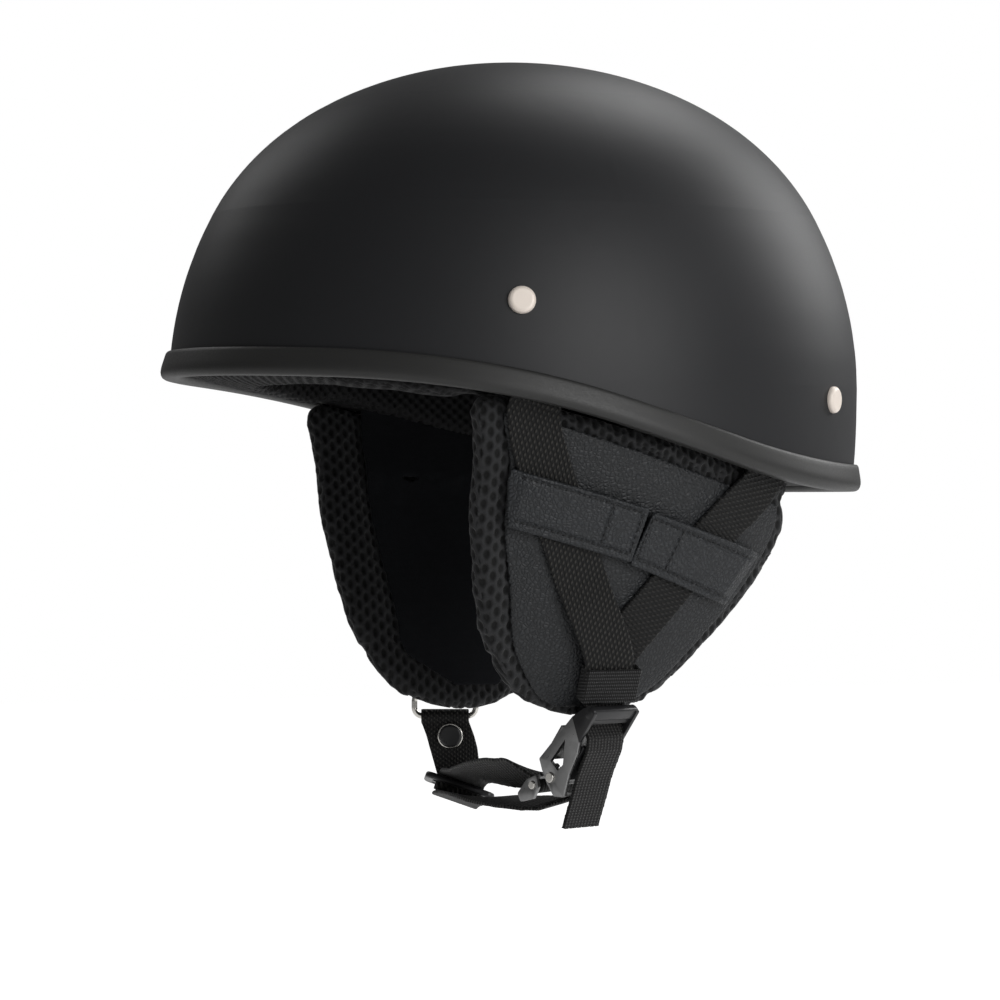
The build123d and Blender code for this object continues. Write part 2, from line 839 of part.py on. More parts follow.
# Webbing from the keeper behind both bars and out below them as the hanging tail
tail_shares = ((0.18, 0.3), (0.27, 0.45), (0.37, 0.5), (0.55, 0.6), (0.73, 0.77), (1, 1))
keeper_centre, keeper_out, keeper_down = keeper_frame(keeper_y)
behind = bar * 0.5 + web / 2 + gap
bars_end = -block_top + bar_pitch + bar
tail_centres = [
    keeper_centre + keeper_down * web,
    keeper_centre + keeper_down * keeper_height / 2,
    buckle_place(-block_top + bar / 2, behind),
    buckle_place(bars_end - bar / 2, behind),
    buckle_place(bars_end + web + 2 * gap, bar * 0.1),
]
for along_share, out_share in tail_shares:
    tail_centres.append(buckle_place(along_share * tail_length, -out_share * tail_end_shift))


# The band's outward directions where its width lies along given sides
def band_outs(centres, sides):
    return [way.cross(side).normalized() for way, side in zip(path_ways(centres), sides)]


keeper_side = keeper_out.cross(keeper_down)
tail_sides = [keeper_side] * 2 + [-buckle_across] * (len(tail_centres) - 2)
tail = ribbon(tail_centres, band_outs(tail_centres, tail_sides), web_width, web)
name_and_write(tail, "webbing_tail")

# Ring plane: x runs along the bars of the ring, y is up
ring_angle = radians(ring_turn)
ring_across = Vector(sin(ring_angle), cos(ring_angle), 0)
ring_normal = Vector(cos(ring_angle), -sin(ring_angle), 0)
ring_centre = Vector(ring_inset - shell_half_width, ring_y, ring_z)
ring_plane = Plane(origin=ring_centre, x_dir=ring_across, z_dir=ring_normal)
bar_offset = (ring_height - ring_wire) / 2
with BuildPart() as strap_ring:
    half_x = (ring_width - ring_wire) / 2
    straight_x = half_x - ring_corner
    straight_y = bar_offset - ring_corner
    with BuildLine(ring_plane):
        Line((-straight_x, bar_offset), (straight_x, bar_offset))
        RadiusArc((straight_x, bar_offset), (half_x, straight_y), ring_corner)
        Line((half_x, straight_y), (half_x, -straight_y))
        RadiusArc((half_x, -straight_y), (straight_x, -bar_offset), ring_corner)
        Line((straight_x, -bar_offset), (-straight_x, -bar_offset))
        RadiusArc((-straight_x, -bar_offset), (-half_x, -straight_y), ring_corner)
        Line((-half_x, -straight_y), (-half_x, straight_y))
        RadiusArc((-half_x, straight_y), (-straight_x, bar_offset), ring_corner)
    with BuildSketch(Plane(origin=ring_plane.from_local_coords((0, bar_offset)), z_dir=ring_across)):
        Circle(ring_wire / 2)
    sweep()
name_and_write(strap_ring.part, "strap_ring")

# Doubled webbing folded round a bar of the ring, seen along the bar
loop_bore = ring_wire / 2 + gap
loop_outer = loop_bore + web
fold_plane = Plane(origin=ring_centre, x_dir=ring_normal, z_dir=-ring_across)


def fold_and_leg(bar_up, leg):
    with BuildPart() as fold:
        with BuildSketch(fold_plane):
            with Locations((0, bar_up)):
                Circle(loop_outer)
        extrude(amount=web_width / 2, both=True)
        add(leg)
        with BuildSketch(fold_plane):
            with Locations((0, bar_up)):
                Circle(loop_bore)
        extrude(amount=web_width, both=True, mode=Mode.SUBTRACT)
    return fold.part


# The right strap's doubled end runs from its keeper to the ring's upper bar
mirror_centre, mirror_out, mirror_down = keeper_frame(right_keeper_y)
right_centre = Vector(-mirror_centre.X, mirror_centre.Y, mirror_centre.Z)
right_out = Vector(-mirror_out.X, mirror_out.Y, mirror_out.Z)
right_down = Vector(-mirror_down.X, mirror_down.Y, mirror_down.Z)
ring_top = ring_centre + Vector(0, 0, bar_offset)
ring_low = ring_centre - Vector(0, 0, bar_offset)
neck_centres = [
    right_centre + right_down * web,
    right_centre + right_down * keeper_height / 2,
    ring_top + Vector(0, 0, loop_bore + web / 2),
]
neck = ribbon(neck_centres, [right_out, right_out, -ring_normal], web_width, 2 * web)
name_and_write(fold_and_leg(bar_offset, neck), "ring_loop")

# Slider plane: x runs along its bars, y towards the buckle
slider_centre = Vector(slider_inset - shell_half_width, slider_y, slider_z)
roll = radians(slider_roll)
slider_across = Vector(-sin(ring_angle) * cos(roll), -cos(ring_angle) * cos(roll), sin(roll))
tongue_centre = buckle_place(tongue_pin_along, tongue_pin_up)
slider_ahead = tongue_centre - slider_centre
slider_ahead = (slider_ahead - slider_across * slider_ahead.dot(slider_across)).normalized()
slider_up = slider_across.cross(slider_ahead)
slider_plane = Plane(origin=slider_centre, x_dir=slider_across, z_dir=slider_up)
slot_pitch = (slider_bar + slider_slot) / 2


def slider_place(ahead, up):
    return slider_centre + slider_ahead * ahead + slider_up * up


# Doubled web that hangs from the ring's lower bar and ends above the slider
down = Vector(0, 0, -1)
snap_spot = ring_low + down * snap_drop + ring_across * snap_shift
below_snap = (snap_drop + snap_diameter / 2 + gap) / snap_drop
hanger_centres = [
    ring_low + down * (loop_bore + web / 2),
    snap_spot,
    ring_low + (snap_spot - ring_low) * below_snap,
    slider_place(-slot_pitch, slider / 2 + web / 2),
]
hanger_leg = ribbon(
    hanger_centres,
    [-ring_normal] * 3 + [-slider_ahead],
    web_width,
    2 * web,
    [down] * 3 + [-slider_up],
)
snap_plane = Plane(origin=snap_spot, x_dir=ring_across, z_dir=ring_normal)
with BuildPart() as snap_hole:
    with BuildSketch(snap_plane):
        Circle(snap_post / 2 + fit)
    extrude(amount=overrun, both=True)
name_and_write(shape_less(fold_and_leg(-bar_offset, hanger_leg), snap_hole.part), "hanger_web")

# Snap button through both layers of the hanging web
with BuildPart() as snap_button:
    for side in (-1, 1):
        with BuildSketch(snap_plane.offset(side * (web + gap))):
            Circle(snap_diameter / 2)
        extrude(amount=side * snap)
    with BuildSketch(snap_plane):
        Circle(snap_post / 2)
    extrude(amount=web + gap, both=True)
    snap_rings = snap_button.edges().filter_by(GeomType.CIRCLE).group_by(SortBy.RADIUS)[-1]
    snap_rings = snap_rings.sort_by(Axis(snap_spot, ring_normal))
    fillet((snap_rings[0], snap_rings[-1]), snap * 0.6)
name_and_write(snap_button.part, "snap_button")

# Slider with two slots
with BuildPart() as tri_glide:
    with BuildSketch(slider_plane):
        RectangleRounded(slider_length, slider_width, slider_corner)
        with Locations((0, slot_pitch), (0, -slot_pitch)):
            RectangleRounded(slider_slot_length, slider_slot, slider_slot * 0.3, mode=Mode.SUBTRACT)
    extrude(amount=slider / 2, both=True)
    rim_edges = tri_glide.faces().filter_by(GeomType.PLANE).sort_by(SortBy.AREA)[-2:]
    chamfer(rim_edges.edges(), slider * 0.2)
name_and_write(tri_glide.part, "tri_glide")


# Chin strap: through the slider, forward under the chin and round the tongue's pin
band_up = tongue_pin_diameter / 2 + gap + web / 2
arrival = tongue_centre - slider_centre
arrival = (arrival - buckle_across * arrival.dot(buckle_across)).normalized()
tongue_up = arrival.cross(buckle_across).normalized()
band_start = slider_place(slot_pitch * 2.2, slider / 2 + web)
band_end = tongue_centre + tongue_up * band_up
slider_rows = (
    (-slot_pitch, slider / 2 + gap / 2),
    (-slot_pitch, -slider * 0.2),
    (-slot_pitch * 0.5, -slider * 1.3),
    (slot_pitch * 0.5, -slider * 1.3),
    (slot_pitch, -slider * 0.2),
    (slot_pitch, slider * 0.45),
    (slot_pitch + web * 0.8, slider / 2 + web),
    (slot_pitch * 2.2, slider / 2 + web),
)
chin_centres = [slider_place(ahead, up) for ahead, up in slider_rows]
chin_outs = band_outs(chin_centres, [-slider_across] * len(chin_centres))
with BuildLine(mode=Mode.PRIVATE):
    sweep_line = Bezier(
        band_start,
        band_start + slider_ahead * chin_arm,
        band_end - arrival * chin_arm - Vector(0, 0, chin_sag),
        band_end,
    )
for step_share in chin_step_shares:
    chin_centres.append(sweep_line @ step_share)
    out = slider_up * (1 - step_share) + tongue_up * step_share
    way = sweep_line % step_share
    chin_outs.append((out - way * out.dot(way)).normalized())
chin_outs[7] = slider_up
pin_plane = Plane(origin=tongue_centre, x_dir=buckle_down, z_dir=buckle_across)
with BuildPart() as chin_strap:
    add(ribbon(chin_centres, chin_outs, web_width, web))
    with BuildSketch(pin_plane):
        Circle(tongue_pin_diameter / 2 + gap + web)
    extrude(amount=web_width / 2, both=True)
    with BuildSketch(pin_plane):
        Circle(tongue_pin_diameter / 2 + gap)
    extrude(amount=web_width, both=True, mode=Mode.SUBTRACT)
name_and_write(chin_strap.part, "chin_strap")

# Free end of the chin strap, which lies under the rest of it
free_start = slider_place(-slot_pitch, -slider * 1.3 - web - 2 * gap)
free_end = Vector(shell_half_width - free_end_inset, free_end_y, free_end_z)
with BuildLine(mode=Mode.PRIVATE):
    free_line = Bezier(
        free_start, free_start + slider_ahead * chin_arm, free_end - arrival * chin_arm, free_end
    )
free_centres, free_outs = [], []
for step_share in (0,) + chin_step_shares:
    free_centres.append(free_line @ step_share)
    out = slider_up * (1 - step_share) + tongue_up * step_share
    way = free_line % step_share
    free_outs.append((out - way * out.dot(way)).normalized())
name_and_write(ribbon(free_centres, free_outs, web_width, web), "strap_free_end")
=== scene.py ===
import json
import math

import bmesh
import bpy
import numpy as np
from mathutils import Matrix, Vector
from mathutils.bvhtree import BVHTree


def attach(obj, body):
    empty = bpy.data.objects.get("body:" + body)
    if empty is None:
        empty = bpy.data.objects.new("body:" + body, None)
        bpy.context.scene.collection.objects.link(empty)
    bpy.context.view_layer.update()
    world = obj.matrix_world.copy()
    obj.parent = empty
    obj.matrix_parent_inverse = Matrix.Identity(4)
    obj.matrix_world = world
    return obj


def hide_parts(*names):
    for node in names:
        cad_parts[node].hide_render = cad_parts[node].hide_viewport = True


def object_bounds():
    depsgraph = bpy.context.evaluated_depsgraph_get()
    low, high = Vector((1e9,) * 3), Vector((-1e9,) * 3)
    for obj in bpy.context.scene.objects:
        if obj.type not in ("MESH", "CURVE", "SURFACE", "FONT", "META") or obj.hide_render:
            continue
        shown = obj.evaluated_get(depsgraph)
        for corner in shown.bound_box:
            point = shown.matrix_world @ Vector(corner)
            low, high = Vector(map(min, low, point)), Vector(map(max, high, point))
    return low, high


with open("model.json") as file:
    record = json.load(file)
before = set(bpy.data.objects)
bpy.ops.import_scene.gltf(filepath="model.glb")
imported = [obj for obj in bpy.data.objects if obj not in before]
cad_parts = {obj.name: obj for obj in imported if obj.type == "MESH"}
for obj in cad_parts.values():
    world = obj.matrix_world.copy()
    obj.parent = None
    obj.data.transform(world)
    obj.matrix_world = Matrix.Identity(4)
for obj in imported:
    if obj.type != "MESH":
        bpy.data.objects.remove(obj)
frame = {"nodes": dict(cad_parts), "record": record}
cad_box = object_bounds()

# Ways, and the viewer's place: 67 degrees round from the front, looking level
MM = 0.001
UP = Vector((0, 0, 1))
CAMERA_AZIMUTH = math.radians(67)
SIDE_WAY = Vector((math.cos(CAMERA_AZIMUTH), math.sin(CAMERA_AZIMUTH), 0))
BACK_WAY = Vector((math.sin(CAMERA_AZIMUTH), -math.cos(CAMERA_AZIMUTH), 0))
CAMERA_DISTANCE = 1.5
CAMERA_LENS = 135
SENSOR = 36
AIM_SIDE = -6.8 * MM
AIM_HEIGHT = -44.4 * MM

# Studio, in metres and watts
FLOOR_DROP = 0.2
FLOOR_SIZE = 9
FLOOR_GREY = 0.8
FLOOR_SEEN = 0.95
FLOOR_REFLECTED = 0.25
ROOM_LIGHT = 0.12
# Each lamp's place as steps to the side, towards the viewer and up, then its aim's height, width and power
LAMPS = {
    "rear_side_softbox": ((1.45, -0.95, 0.8), 0.02, 1, 13.5),
    "rear_top_softbox": ((0.6, -0.95, 1.5), 0.02, 0.9, 10),
    "front_top_softbox": ((-1, -0.9, 1), 0.02, 0.8, 3),
    "camera_fill": ((1.2, 1.5, 0.5), -0.06, 1.2, 21),
}

# Rays that look for a surface start this far below the brow, out from the shell's axis, or to a side
RAY_BELOW = 0.15
RAY_OUT = 0.3
RAY_SIDE = 0.2

# Mesh sizes of the pieces that are meshed anew
PAD_VOXEL = 4 * MM
PANEL_VOXEL = 0.8 * MM
STRAP_VOXEL = 0.55 * MM
TAB_VOXEL = 0.55 * MM
KEEPER_VOXEL = 0.45 * MM
LINER_VOXEL = 2.5 * MM
HEM_VOXEL = 2.75 * MM
WELD = 0.02 * MM

# Flap padding
PAD_CAP = 0.8 * MM
PAD_PRESSURE = 4
PAD_STEPS = 20
PAD_SINK = 0.1 * MM
BORDER_RISE = 1 * MM
FACE_REACH = 1.6 * MM
RIGHT_SAG = 3.5 * MM
SAG_START = 0.06
SAG_REACH = 0.06

# Spacer mesh: the pitch of its holes across and up, and half of each hole
HOLE_ACROSS = 6 * MM
HOLE_UP = 5.4 * MM
HOLE_HALF = (1.1 * MM, 1.8 * MM)
HOLE_DEPTH = 0.75 * MM
BAND_ACROSS = 5 * MM
BAND_UP = 4.2 * MM
BAND_HALF = (0.85 * MM, 1.15 * MM)
# A hole's floor ends and the full strand starts at these shares of its half size
HOLE_FLOOR_SHARE = 0.7
HOLE_RIM_SHARE = 1.3
# Where a face looks up or down by more than this share, its holes are laid out outwards
LEVEL_SHARE = 0.5

# Rolled trim: its middle lies near this oval, and its section is in mm out from the outer wall and up
RIM_OVAL = (0.1125, 0.1385)
TRIM_STEPS = 288
TRIM_HEIGHT = 10.8
TRIM_WALL_SHARES = (0.1, 0.5, 0.9)
TRIM_EVENINGS = 3
TRIM_SECTION = (
    (-2.25, 10.8), (-1.6, 10.75), (-1.1, 10.3), (-0.75, 9.4), (-0.4, 8), (0, 6.4), (0.35, 5),
    (0.55, 3.8), (0.6, 2.8), (0.4, 1.7), (-0.1, 0.8), (-0.95, 0.2), (-2.1, -0.05), (-3.6, -0.1),
    (-5.2, 0), (-6.6, 0.4), (-7.6, 1.2), (-8.1, 2.4), (-8.2, 4), (-8.2, 10.3), (-7.8, 10.8),
    (-6.75, 10.8), (-6.55, 10.5), (-6.55, 2.2), (-6.3, 2.05), (-2.5, 2.05), (-2.25, 2.3),
)

# Hem of the headband: angles in degrees round from the side, and the drops on the left and the right
HEM_ROW = 4
HEM_END = -8
HEM_FADE = 8
HEM_GAP = 0.8 * MM
HEM_DROPS = (4.2 * MM, 0.5 * MM)
HEM_DROP_START = -75
HEM_DROP_FULL = -45
HEM_DEPTH = 5 * MM
HEM_INSET = 1 * MM
HEM_TOP = 8 * MM
HEM_WALL_HEIGHT = 4 * MM

# Leather and lining panels of the flaps
LEATHER_SEAM = Vector((0, -15, -19.5)) * MM
LEATHER_SLOPE = Vector((0, 0.3, 1))
LEATHER_SHIFT = -2.6 * MM
LEATHER_SHIFT_RANGE = (15 * MM, 32 * MM)
LEATHER_REAR = 2.6 * MM
LEATHER_REAR_RANGE = (12 * MM, 30 * MM)
LEATHER_REAR_DEPTH = (30 * MM, 50 * MM)
LINING_CUTS = (((0, -28, -96), (0, -0.9, -0.44)), ((0, -13, -112), (0, -0.5, -0.87)))
LINING_TOP = -40 * MM
LINING_RISE = 4.5 * MM

# Straps
FRONT_STRAP_SHIFT = -3.6 * MM
FRONT_STRAP_START = (1 * MM, 12 * MM)
FRONT_STRAP_END = (75 * MM, 104 * MM)
FRONT_STRAP_LOSS_SHARE = 0.6
# Each web's turn starts, is full from and to, and ends at these mm along X, then its lift and slope
WEB_TURNS = {
    "chin_strap": (-42, 24, 32, 54, 2.8, -0.52),
    "strap_free_end": (-40, 0, 60, 80, 1.1, 0.22),
}
WEB_ROW = 4 * MM
KEEPER_SHARE = 0.9
# Nearly black colour of the webbing's low parts: painted shade in the gaps between the threads
WEB_GAP_SHADE = (0.002, 0.002, 0.002)
FRONT_STRAP_WAY = Vector((0, 0.33, -0.944))
FRONT_STRAP_ACROSS = Vector((0, 0.944, 0.33))
REAR_STRAP_WAY = Vector((0, -0.66, -0.75))
REAR_STRAP_ACROSS = Vector((0, 0.75, -0.66))
LEFTWARDS = Vector((1, 0, 0))
REARWARDS = Vector((0, 1, 0))

# Tabs: each runs from its root to its free end, given along Y and up
TAB_HALF = 10.2 * MM
TAB_DROP = 1.1 * MM
TAB_EDGE = 0.8 * MM
TAB_ENDS = {
    "front": ((-44 * MM, -45 * MM), (11.5 * MM, -58.5 * MM)),
    "rear": ((60 * MM, -74.5 * MM), (11.5 * MM, -58.5 * MM)),
}
TAB_CORNER = Vector((92.2, -43.9, -34.5)) * MM
# Each tab's move at its root and at its free end, along Y and up, in mm, and the slant of its root
TAB_MOVES = {
    "front": ((0, 3), (-1.7, 1.7), 0),
    "rear": ((-1, 0.4), (-3.1, 1.4), 3),
}
SEAM_INSET = 2.2 * MM
SEAM_REACH = 0.8 * MM
SEAM_DENT = 0.5 * MM
SEAM_START_SHARE = 0.04
SEAM_END_SHARE = 0.95
SEWN_BOX_SHARES = {"front": 0.72, "rear": 0.68}
STITCH_PITCH = 2.5 * MM
STITCH_LENGTH = 1.8 * MM
STITCH_THICK = 0.4 * MM
STITCH_SIDES = 6
STITCH_RISE_SHARE = 0.15
# A stitch's rings: the place along it and the thickness there, as shares
STITCH_SHARES = ((0.5, 0.35), (0.38, 0.85), (0.2, 1), (-0.2, 1), (-0.38, 0.85), (-0.5, 0.35))

# Snap and buckle
RING_ACROSS = Vector((0.3907, 0.9205, 0))
SNAP_SPOT = Vector((-74.94, 1.83, -143)) * MM
SNAP_OUT = Vector((0.9205, -0.3907, 0))
SNAP_RISE = 2.3 * MM
SNAP_RADIUS = 4.9 * MM
SNAP_WIRE = 0.45 * MM
BUCKLE_SPOT = Vector((74.9, 5.5, -126.2)) * MM
BUCKLE_WAY = Vector((-0.5556, -0.2313, -0.7986))
BUCKLE_ACROSS = Vector((-0.3843, 0.9232, 0))
BLOCK_END = 9 * MM
CAP_SIZE = Vector((5.3, 3.6, 25.4)) * MM
CAP_PLACE = Vector((-1.7, -1.4, 0)) * MM
CAP_EDGE = 1.1 * MM
CHEEK_EDGE = 0.35 * MM
PLATE_EDGE = 0.3 * MM
SLIDER_EDGE = 0.5 * MM


def only(piece):
    bpy.ops.object.select_all(action="DESELECT")
    piece.select_set(True)
    bpy.context.view_layer.objects.active = piece


def edit():
    bpy.ops.object.mode_set(mode="EDIT")
    bpy.ops.mesh.select_all(action="SELECT")


def leave_edit():
    bpy.ops.object.mode_set(mode="OBJECT")


def apply_modifiers(piece):
    only(piece)
    for modifier in list(piece.modifiers):
        bpy.ops.object.modifier_apply(modifier=modifier.name)


def linked(name, data):
    piece = bpy.data.objects.new(name, data)
    bpy.context.collection.objects.link(piece)
    return piece


# A copy of a CAD node with its points merged, to be worked on as its own piece
def copy_of(node, name):
    mesh = frame["nodes"][node].data.copy()
    mesh.materials.clear()
    piece = linked(name, mesh)
    only(piece)
    edit()
    bpy.ops.mesh.remove_doubles(threshold=WELD)
    leave_edit()
    return piece


# A new piece from a builder's faces, all turned outwards
def built(builder, name):
    bmesh.ops.recalc_face_normals(builder, faces=builder.faces)
    mesh = bpy.data.meshes.new(name)
    builder.to_mesh(mesh)
    builder.free()
    return linked(name, mesh)


# Cut a piece along a plane and close it: the part that the way points to goes, or else the other part
def cut(piece, place, way, far_goes=True):
    only(piece)
    edit()
    bpy.ops.mesh.bisect(
        plane_co=place,
        plane_no=way,
        use_fill=True,
        clear_outer=far_goes,
        clear_inner=not far_goes,
    )
    leave_edit()


def smoothed(piece, steps):
    smooth = piece.modifiers.new("smooth", "SMOOTH")
    smooth.factor = 0.5
    smooth.iterations = steps
    apply_modifiers(piece)


def subdivided(piece, levels):
    if levels:
        finer = piece.modifiers.new("finer", "SUBSURF")
        finer.levels = levels
        finer.render_levels = levels
        apply_modifiers(piece)


def remeshed(piece, voxel, smooth_steps):
    remesh = piece.modifiers.new("even", "REMESH")
    remesh.mode = "VOXEL"
    remesh.voxel_size = voxel
    apply_modifiers(piece)
    smoothed(piece, smooth_steps)


def smooth_shaded(piece, angle=180):
    only(piece)
    if angle < 180:
        bpy.ops.object.shade_smooth_by_angle(angle=math.radians(angle))
    else:
        bpy.ops.object.shade_smooth()


def bevelled(piece, width, segments, angle):
    bevel = piece.modifiers.new("edges", "BEVEL")
    bevel.width = width
    bevel.segments = segments
    bevel.limit_method = "ANGLE"
    bevel.angle_limit = math.radians(angle)
    apply_modifiers(piece)


def surface_of(piece):
    return BVHTree.FromPolygons(
        [vertex.co.copy() for vertex in piece.data.vertices],
        [tuple(face.vertices) for face in piece.data.polygons],
    )


# From 0 at the low value to 1 at the high one, with no corner at either
def eased(value, low, high):
    share = min(1, max(0, (value - low) / (high - low)))
    return share * share * (3 - 2 * share)


# The places of a mesh's vertices and the ways that they face, as two tables
def places_and_normals(mesh):
    tables = []
    for kind in ("co", "normal"):
        table = np.empty(len(mesh.vertices) * 3)
        mesh.vertices.foreach_get(kind, table)
        tables.append(table.reshape(-1, 3))
    return tables


def put_places(mesh, places):
    mesh.vertices.foreach_set("co", places.ravel())
    mesh.update()


def round_way(angle):
    return Vector((math.cos(angle), math.sin(angle), 0))


# Height of the trim's lower edge in a way seen from above
def rim_bottom(trim_wall, out):
    middle = out / math.hypot(out.x / RIM_OVAL[0], out.y / RIM_OVAL[1])
    return trim_wall.ray_cast(middle - UP * RAY_BELOW, UP)[0].z


# Give a piece its material, tie it to its body, and let it stand for its CAD nodes
def finish(piece, material, slot, *nodes, body=None):
    piece.data.materials.clear()
    piece.data.materials.append(material)
    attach(piece, body or body_with(nodes[0]))
    if nodes:
        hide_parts(*nodes)


def body_with(node):
    for name, nodes in frame["record"]["behaviour"]["bodies"].items():
        if node in nodes:
            return name
    raise ValueError(node)


# The same piece for the other side, with its faces still outwards
def mirrored(piece, name):
    twin = linked(name, piece.data.copy())
    for vertex in twin.data.vertices:
        vertex.co.x = -vertex.co.x
    only(twin)
    edit()
    bpy.ops.mesh.flip_normals()
    leave_edit()
    return twin


# A material with its shader, and short ways to add the nodes that pattern it
class Finish:
    def __init__(self, name, colour, roughness, metallic=0):
        self.material = bpy.data.materials.new(name)
        self.material.use_nodes = True
        self.tree = self.material.node_tree
        self.shader = self.tree.nodes["Principled BSDF"]
        self.shader.inputs["Base Color"].default_value = (*colour, 1)
        self.shader.inputs["Roughness"].default_value = roughness
        self.shader.inputs["Metallic"].default_value = metallic
        self.place = self.node("ShaderNodeTexCoord").outputs["Object"]

    def node(self, kind, **inputs):
        node = self.tree.nodes.new(kind)
        for name, value in inputs.items():
            self.feed(node.inputs[name.replace("_", " ")], value)
        return node

    def feed(self, socket, value):
        if isinstance(value, bpy.types.NodeSocket):
            self.tree.links.new(value, socket)
        else:
            socket.default_value = value

    def math(self, operation, *values):
        node = self.tree.nodes.new("ShaderNodeMath")
        node.operation = operation
        for socket, value in zip(node.inputs, values):
            self.feed(socket, value)
        return node.outputs[0]

    def along(self, way, scale):
        node = self.tree.nodes.new("ShaderNodeVectorMath")
        node.operation = "DOT_PRODUCT"
        self.feed(node.inputs[0], self.place)
        self.feed(node.inputs[1], tuple(part * scale for part in way))
        return node.outputs["Value"]

    def noise(self, scale, detail):
        node = self.node("ShaderNodeTexNoise", Vector=self.place, Scale=scale, Detail=detail)
        return node.outputs["Fac"]

    def specular(self, level):
        self.shader.inputs["Specular IOR Level"].default_value = level

    def sheen(self, weight, roughness=0.5):
        self.shader.inputs["Sheen Weight"].default_value = weight
        self.shader.inputs["Sheen Roughness"].default_value = roughness

    def ranged(self, value, low, high, out_low=0, out_high=1):
        node = self.node("ShaderNodeMapRange", Value=value)
        node.inputs["From Min"].default_value = low
        node.inputs["From Max"].default_value = high
        node.inputs["To Min"].default_value = out_low
        node.inputs["To Max"].default_value = out_high
        return node.outputs["Result"]

    def mixed(self, share, first, second):
        node = self.tree.nodes.new("ShaderNodeMix")
        node.data_type = "RGBA"
        self.feed(node.inputs["Factor"], share)
        self.feed(node.inputs["A"], (*first, 1))
        self.feed(node.inputs["B"], (*second, 1) if isinstance(second, tuple) else second)
        return node.outputs["Result"]

    def colour(self, value):
        self.feed(self.shader.inputs["Base Color"], value)

    def roughness(self, value):
        self.feed(self.shader.inputs["Roughness"], value)

    def bump(self, height, distance, strength):
        node = self.node("ShaderNodeBump", Height=height, Strength=strength, Distance=distance)
        self.feed(self.shader.inputs["Normal"], node.outputs["Normal"])


# Matt black lacquer with a slight unevenness
def shell_lacquer():
    finish = Finish("matt_shell_lacquer", (0.012, 0.012, 0.013), 0.48)
    finish.specular(0.36)
    fine = finish.noise(2600, 2)
    broad = finish.noise(9, 3)
    finish.colour(finish.mixed(broad, (0.0125, 0.013, 0.0148), (0.0162, 0.0165, 0.018)))
    finish.roughness(finish.ranged(finish.math("ADD", fine, broad), 0.6, 1.4, 0.44, 0.54))
    finish.bump(fine, 0.02 * MM, 0.5)
    return finish.material


def trim_rubber():
    finish = Finish("satin_trim_rubber", (0.02, 0.02, 0.02), 0.5)
    fine = finish.noise(1500, 3)
    broad = finish.noise(30, 2)
    finish.colour(finish.mixed(broad, (0.018, 0.018, 0.0175), (0.026, 0.026, 0.025)))
    finish.roughness(finish.ranged(fine, 0.3, 0.7, 0.42, 0.56))
    finish.bump(fine, 0.04 * MM, 0.4)
    return finish.material


def plain_metal(name, colour, roughness, scratch=0.5, metallic=1):
    finish = Finish(name, colour, roughness, metallic)
    fine = finish.noise(900, 4)
    finish.roughness(finish.ranged(fine, 0.3, 0.7, roughness * 0.75, roughness * 1.3))
    finish.bump(fine, 0.02 * MM, scratch)
    return finish.material


def black_coating(name, colour, roughness):
    finish = Finish(name, colour, roughness)
    fine = finish.noise(1800, 3)
    broad = finish.noise(120, 3)
    lighter = tuple(part * 1.7 for part in colour)
    finish.colour(finish.mixed(broad, colour, lighter))
    finish.roughness(finish.ranged(broad, 0.3, 0.7, roughness * 0.85, roughness * 1.2))
    finish.bump(fine, 0.03 * MM, 0.5)
    return finish.material


# Spacer mesh, with painted shade making its holes nearly black; the piece's own attribute marks the holes
def spacer_mesh(name, colour, thread, sheen=0.2):
    finish = Finish(name, colour, 0.7)
    finish.specular(0.25)
    finish.sheen(sheen)
    net = finish.node("ShaderNodeAttribute")
    net.attribute_name = "net"
    strands = finish.noise(2600, 3)
    lit = finish.mixed(strands, colour, thread)
    # Painted shade: where the net attribute is 0, in the holes, the colour is nearly black
    finish.colour(finish.mixed(net.outputs["Fac"], (0.0008, 0.0008, 0.0008), lit))
    finish.bump(strands, 0.3 * MM, 0.6)
    return finish.material


# Grained leather: pebbles, with painted shade darkening the creases between them
def leather(name, colour, lighter):
    finish = Finish(name, colour, 0.5)
    finish.specular(0.35)
    cells = finish.node("ShaderNodeTexVoronoi", Vector=finish.place, Scale=620)
    cells.feature = "DISTANCE_TO_EDGE"
    grain = finish.ranged(cells.outputs["Distance"], 0.02, 0.3)
    broad = finish.noise(55, 4)
    fine = finish.noise(700, 3)
    # Painted shade: the creases between the pebbles are coloured darker
    crease_shade = tuple(part * 0.6 for part in colour)
    finish.colour(finish.mixed(grain, crease_shade, finish.mixed(broad, colour, lighter)))
    finish.roughness(finish.ranged(fine, 0.3, 0.7, 0.4, 0.56))
    height = finish.math("ADD", finish.math("MULTIPLY", grain, 0.7), finish.math("ADD", fine, broad))
    finish.bump(height, 0.5 * MM, 0.6)
    return finish.material


# Brushed cloth with a soft nap
def napped_cloth(name, colour, lighter):
    finish = Finish(name, colour, 0.95)
    finish.specular(0.15)
    finish.sheen(0.12, 0.4)
    broad = finish.noise(35, 4)
    nap = finish.noise(1600, 3)
    finish.colour(finish.mixed(broad, colour, lighter))
    finish.roughness(finish.ranged(nap, 0.3, 0.7, 0.85, 1))
    finish.bump(finish.math("ADD", nap, broad), 0.4 * MM, 0.6)
    return finish.material
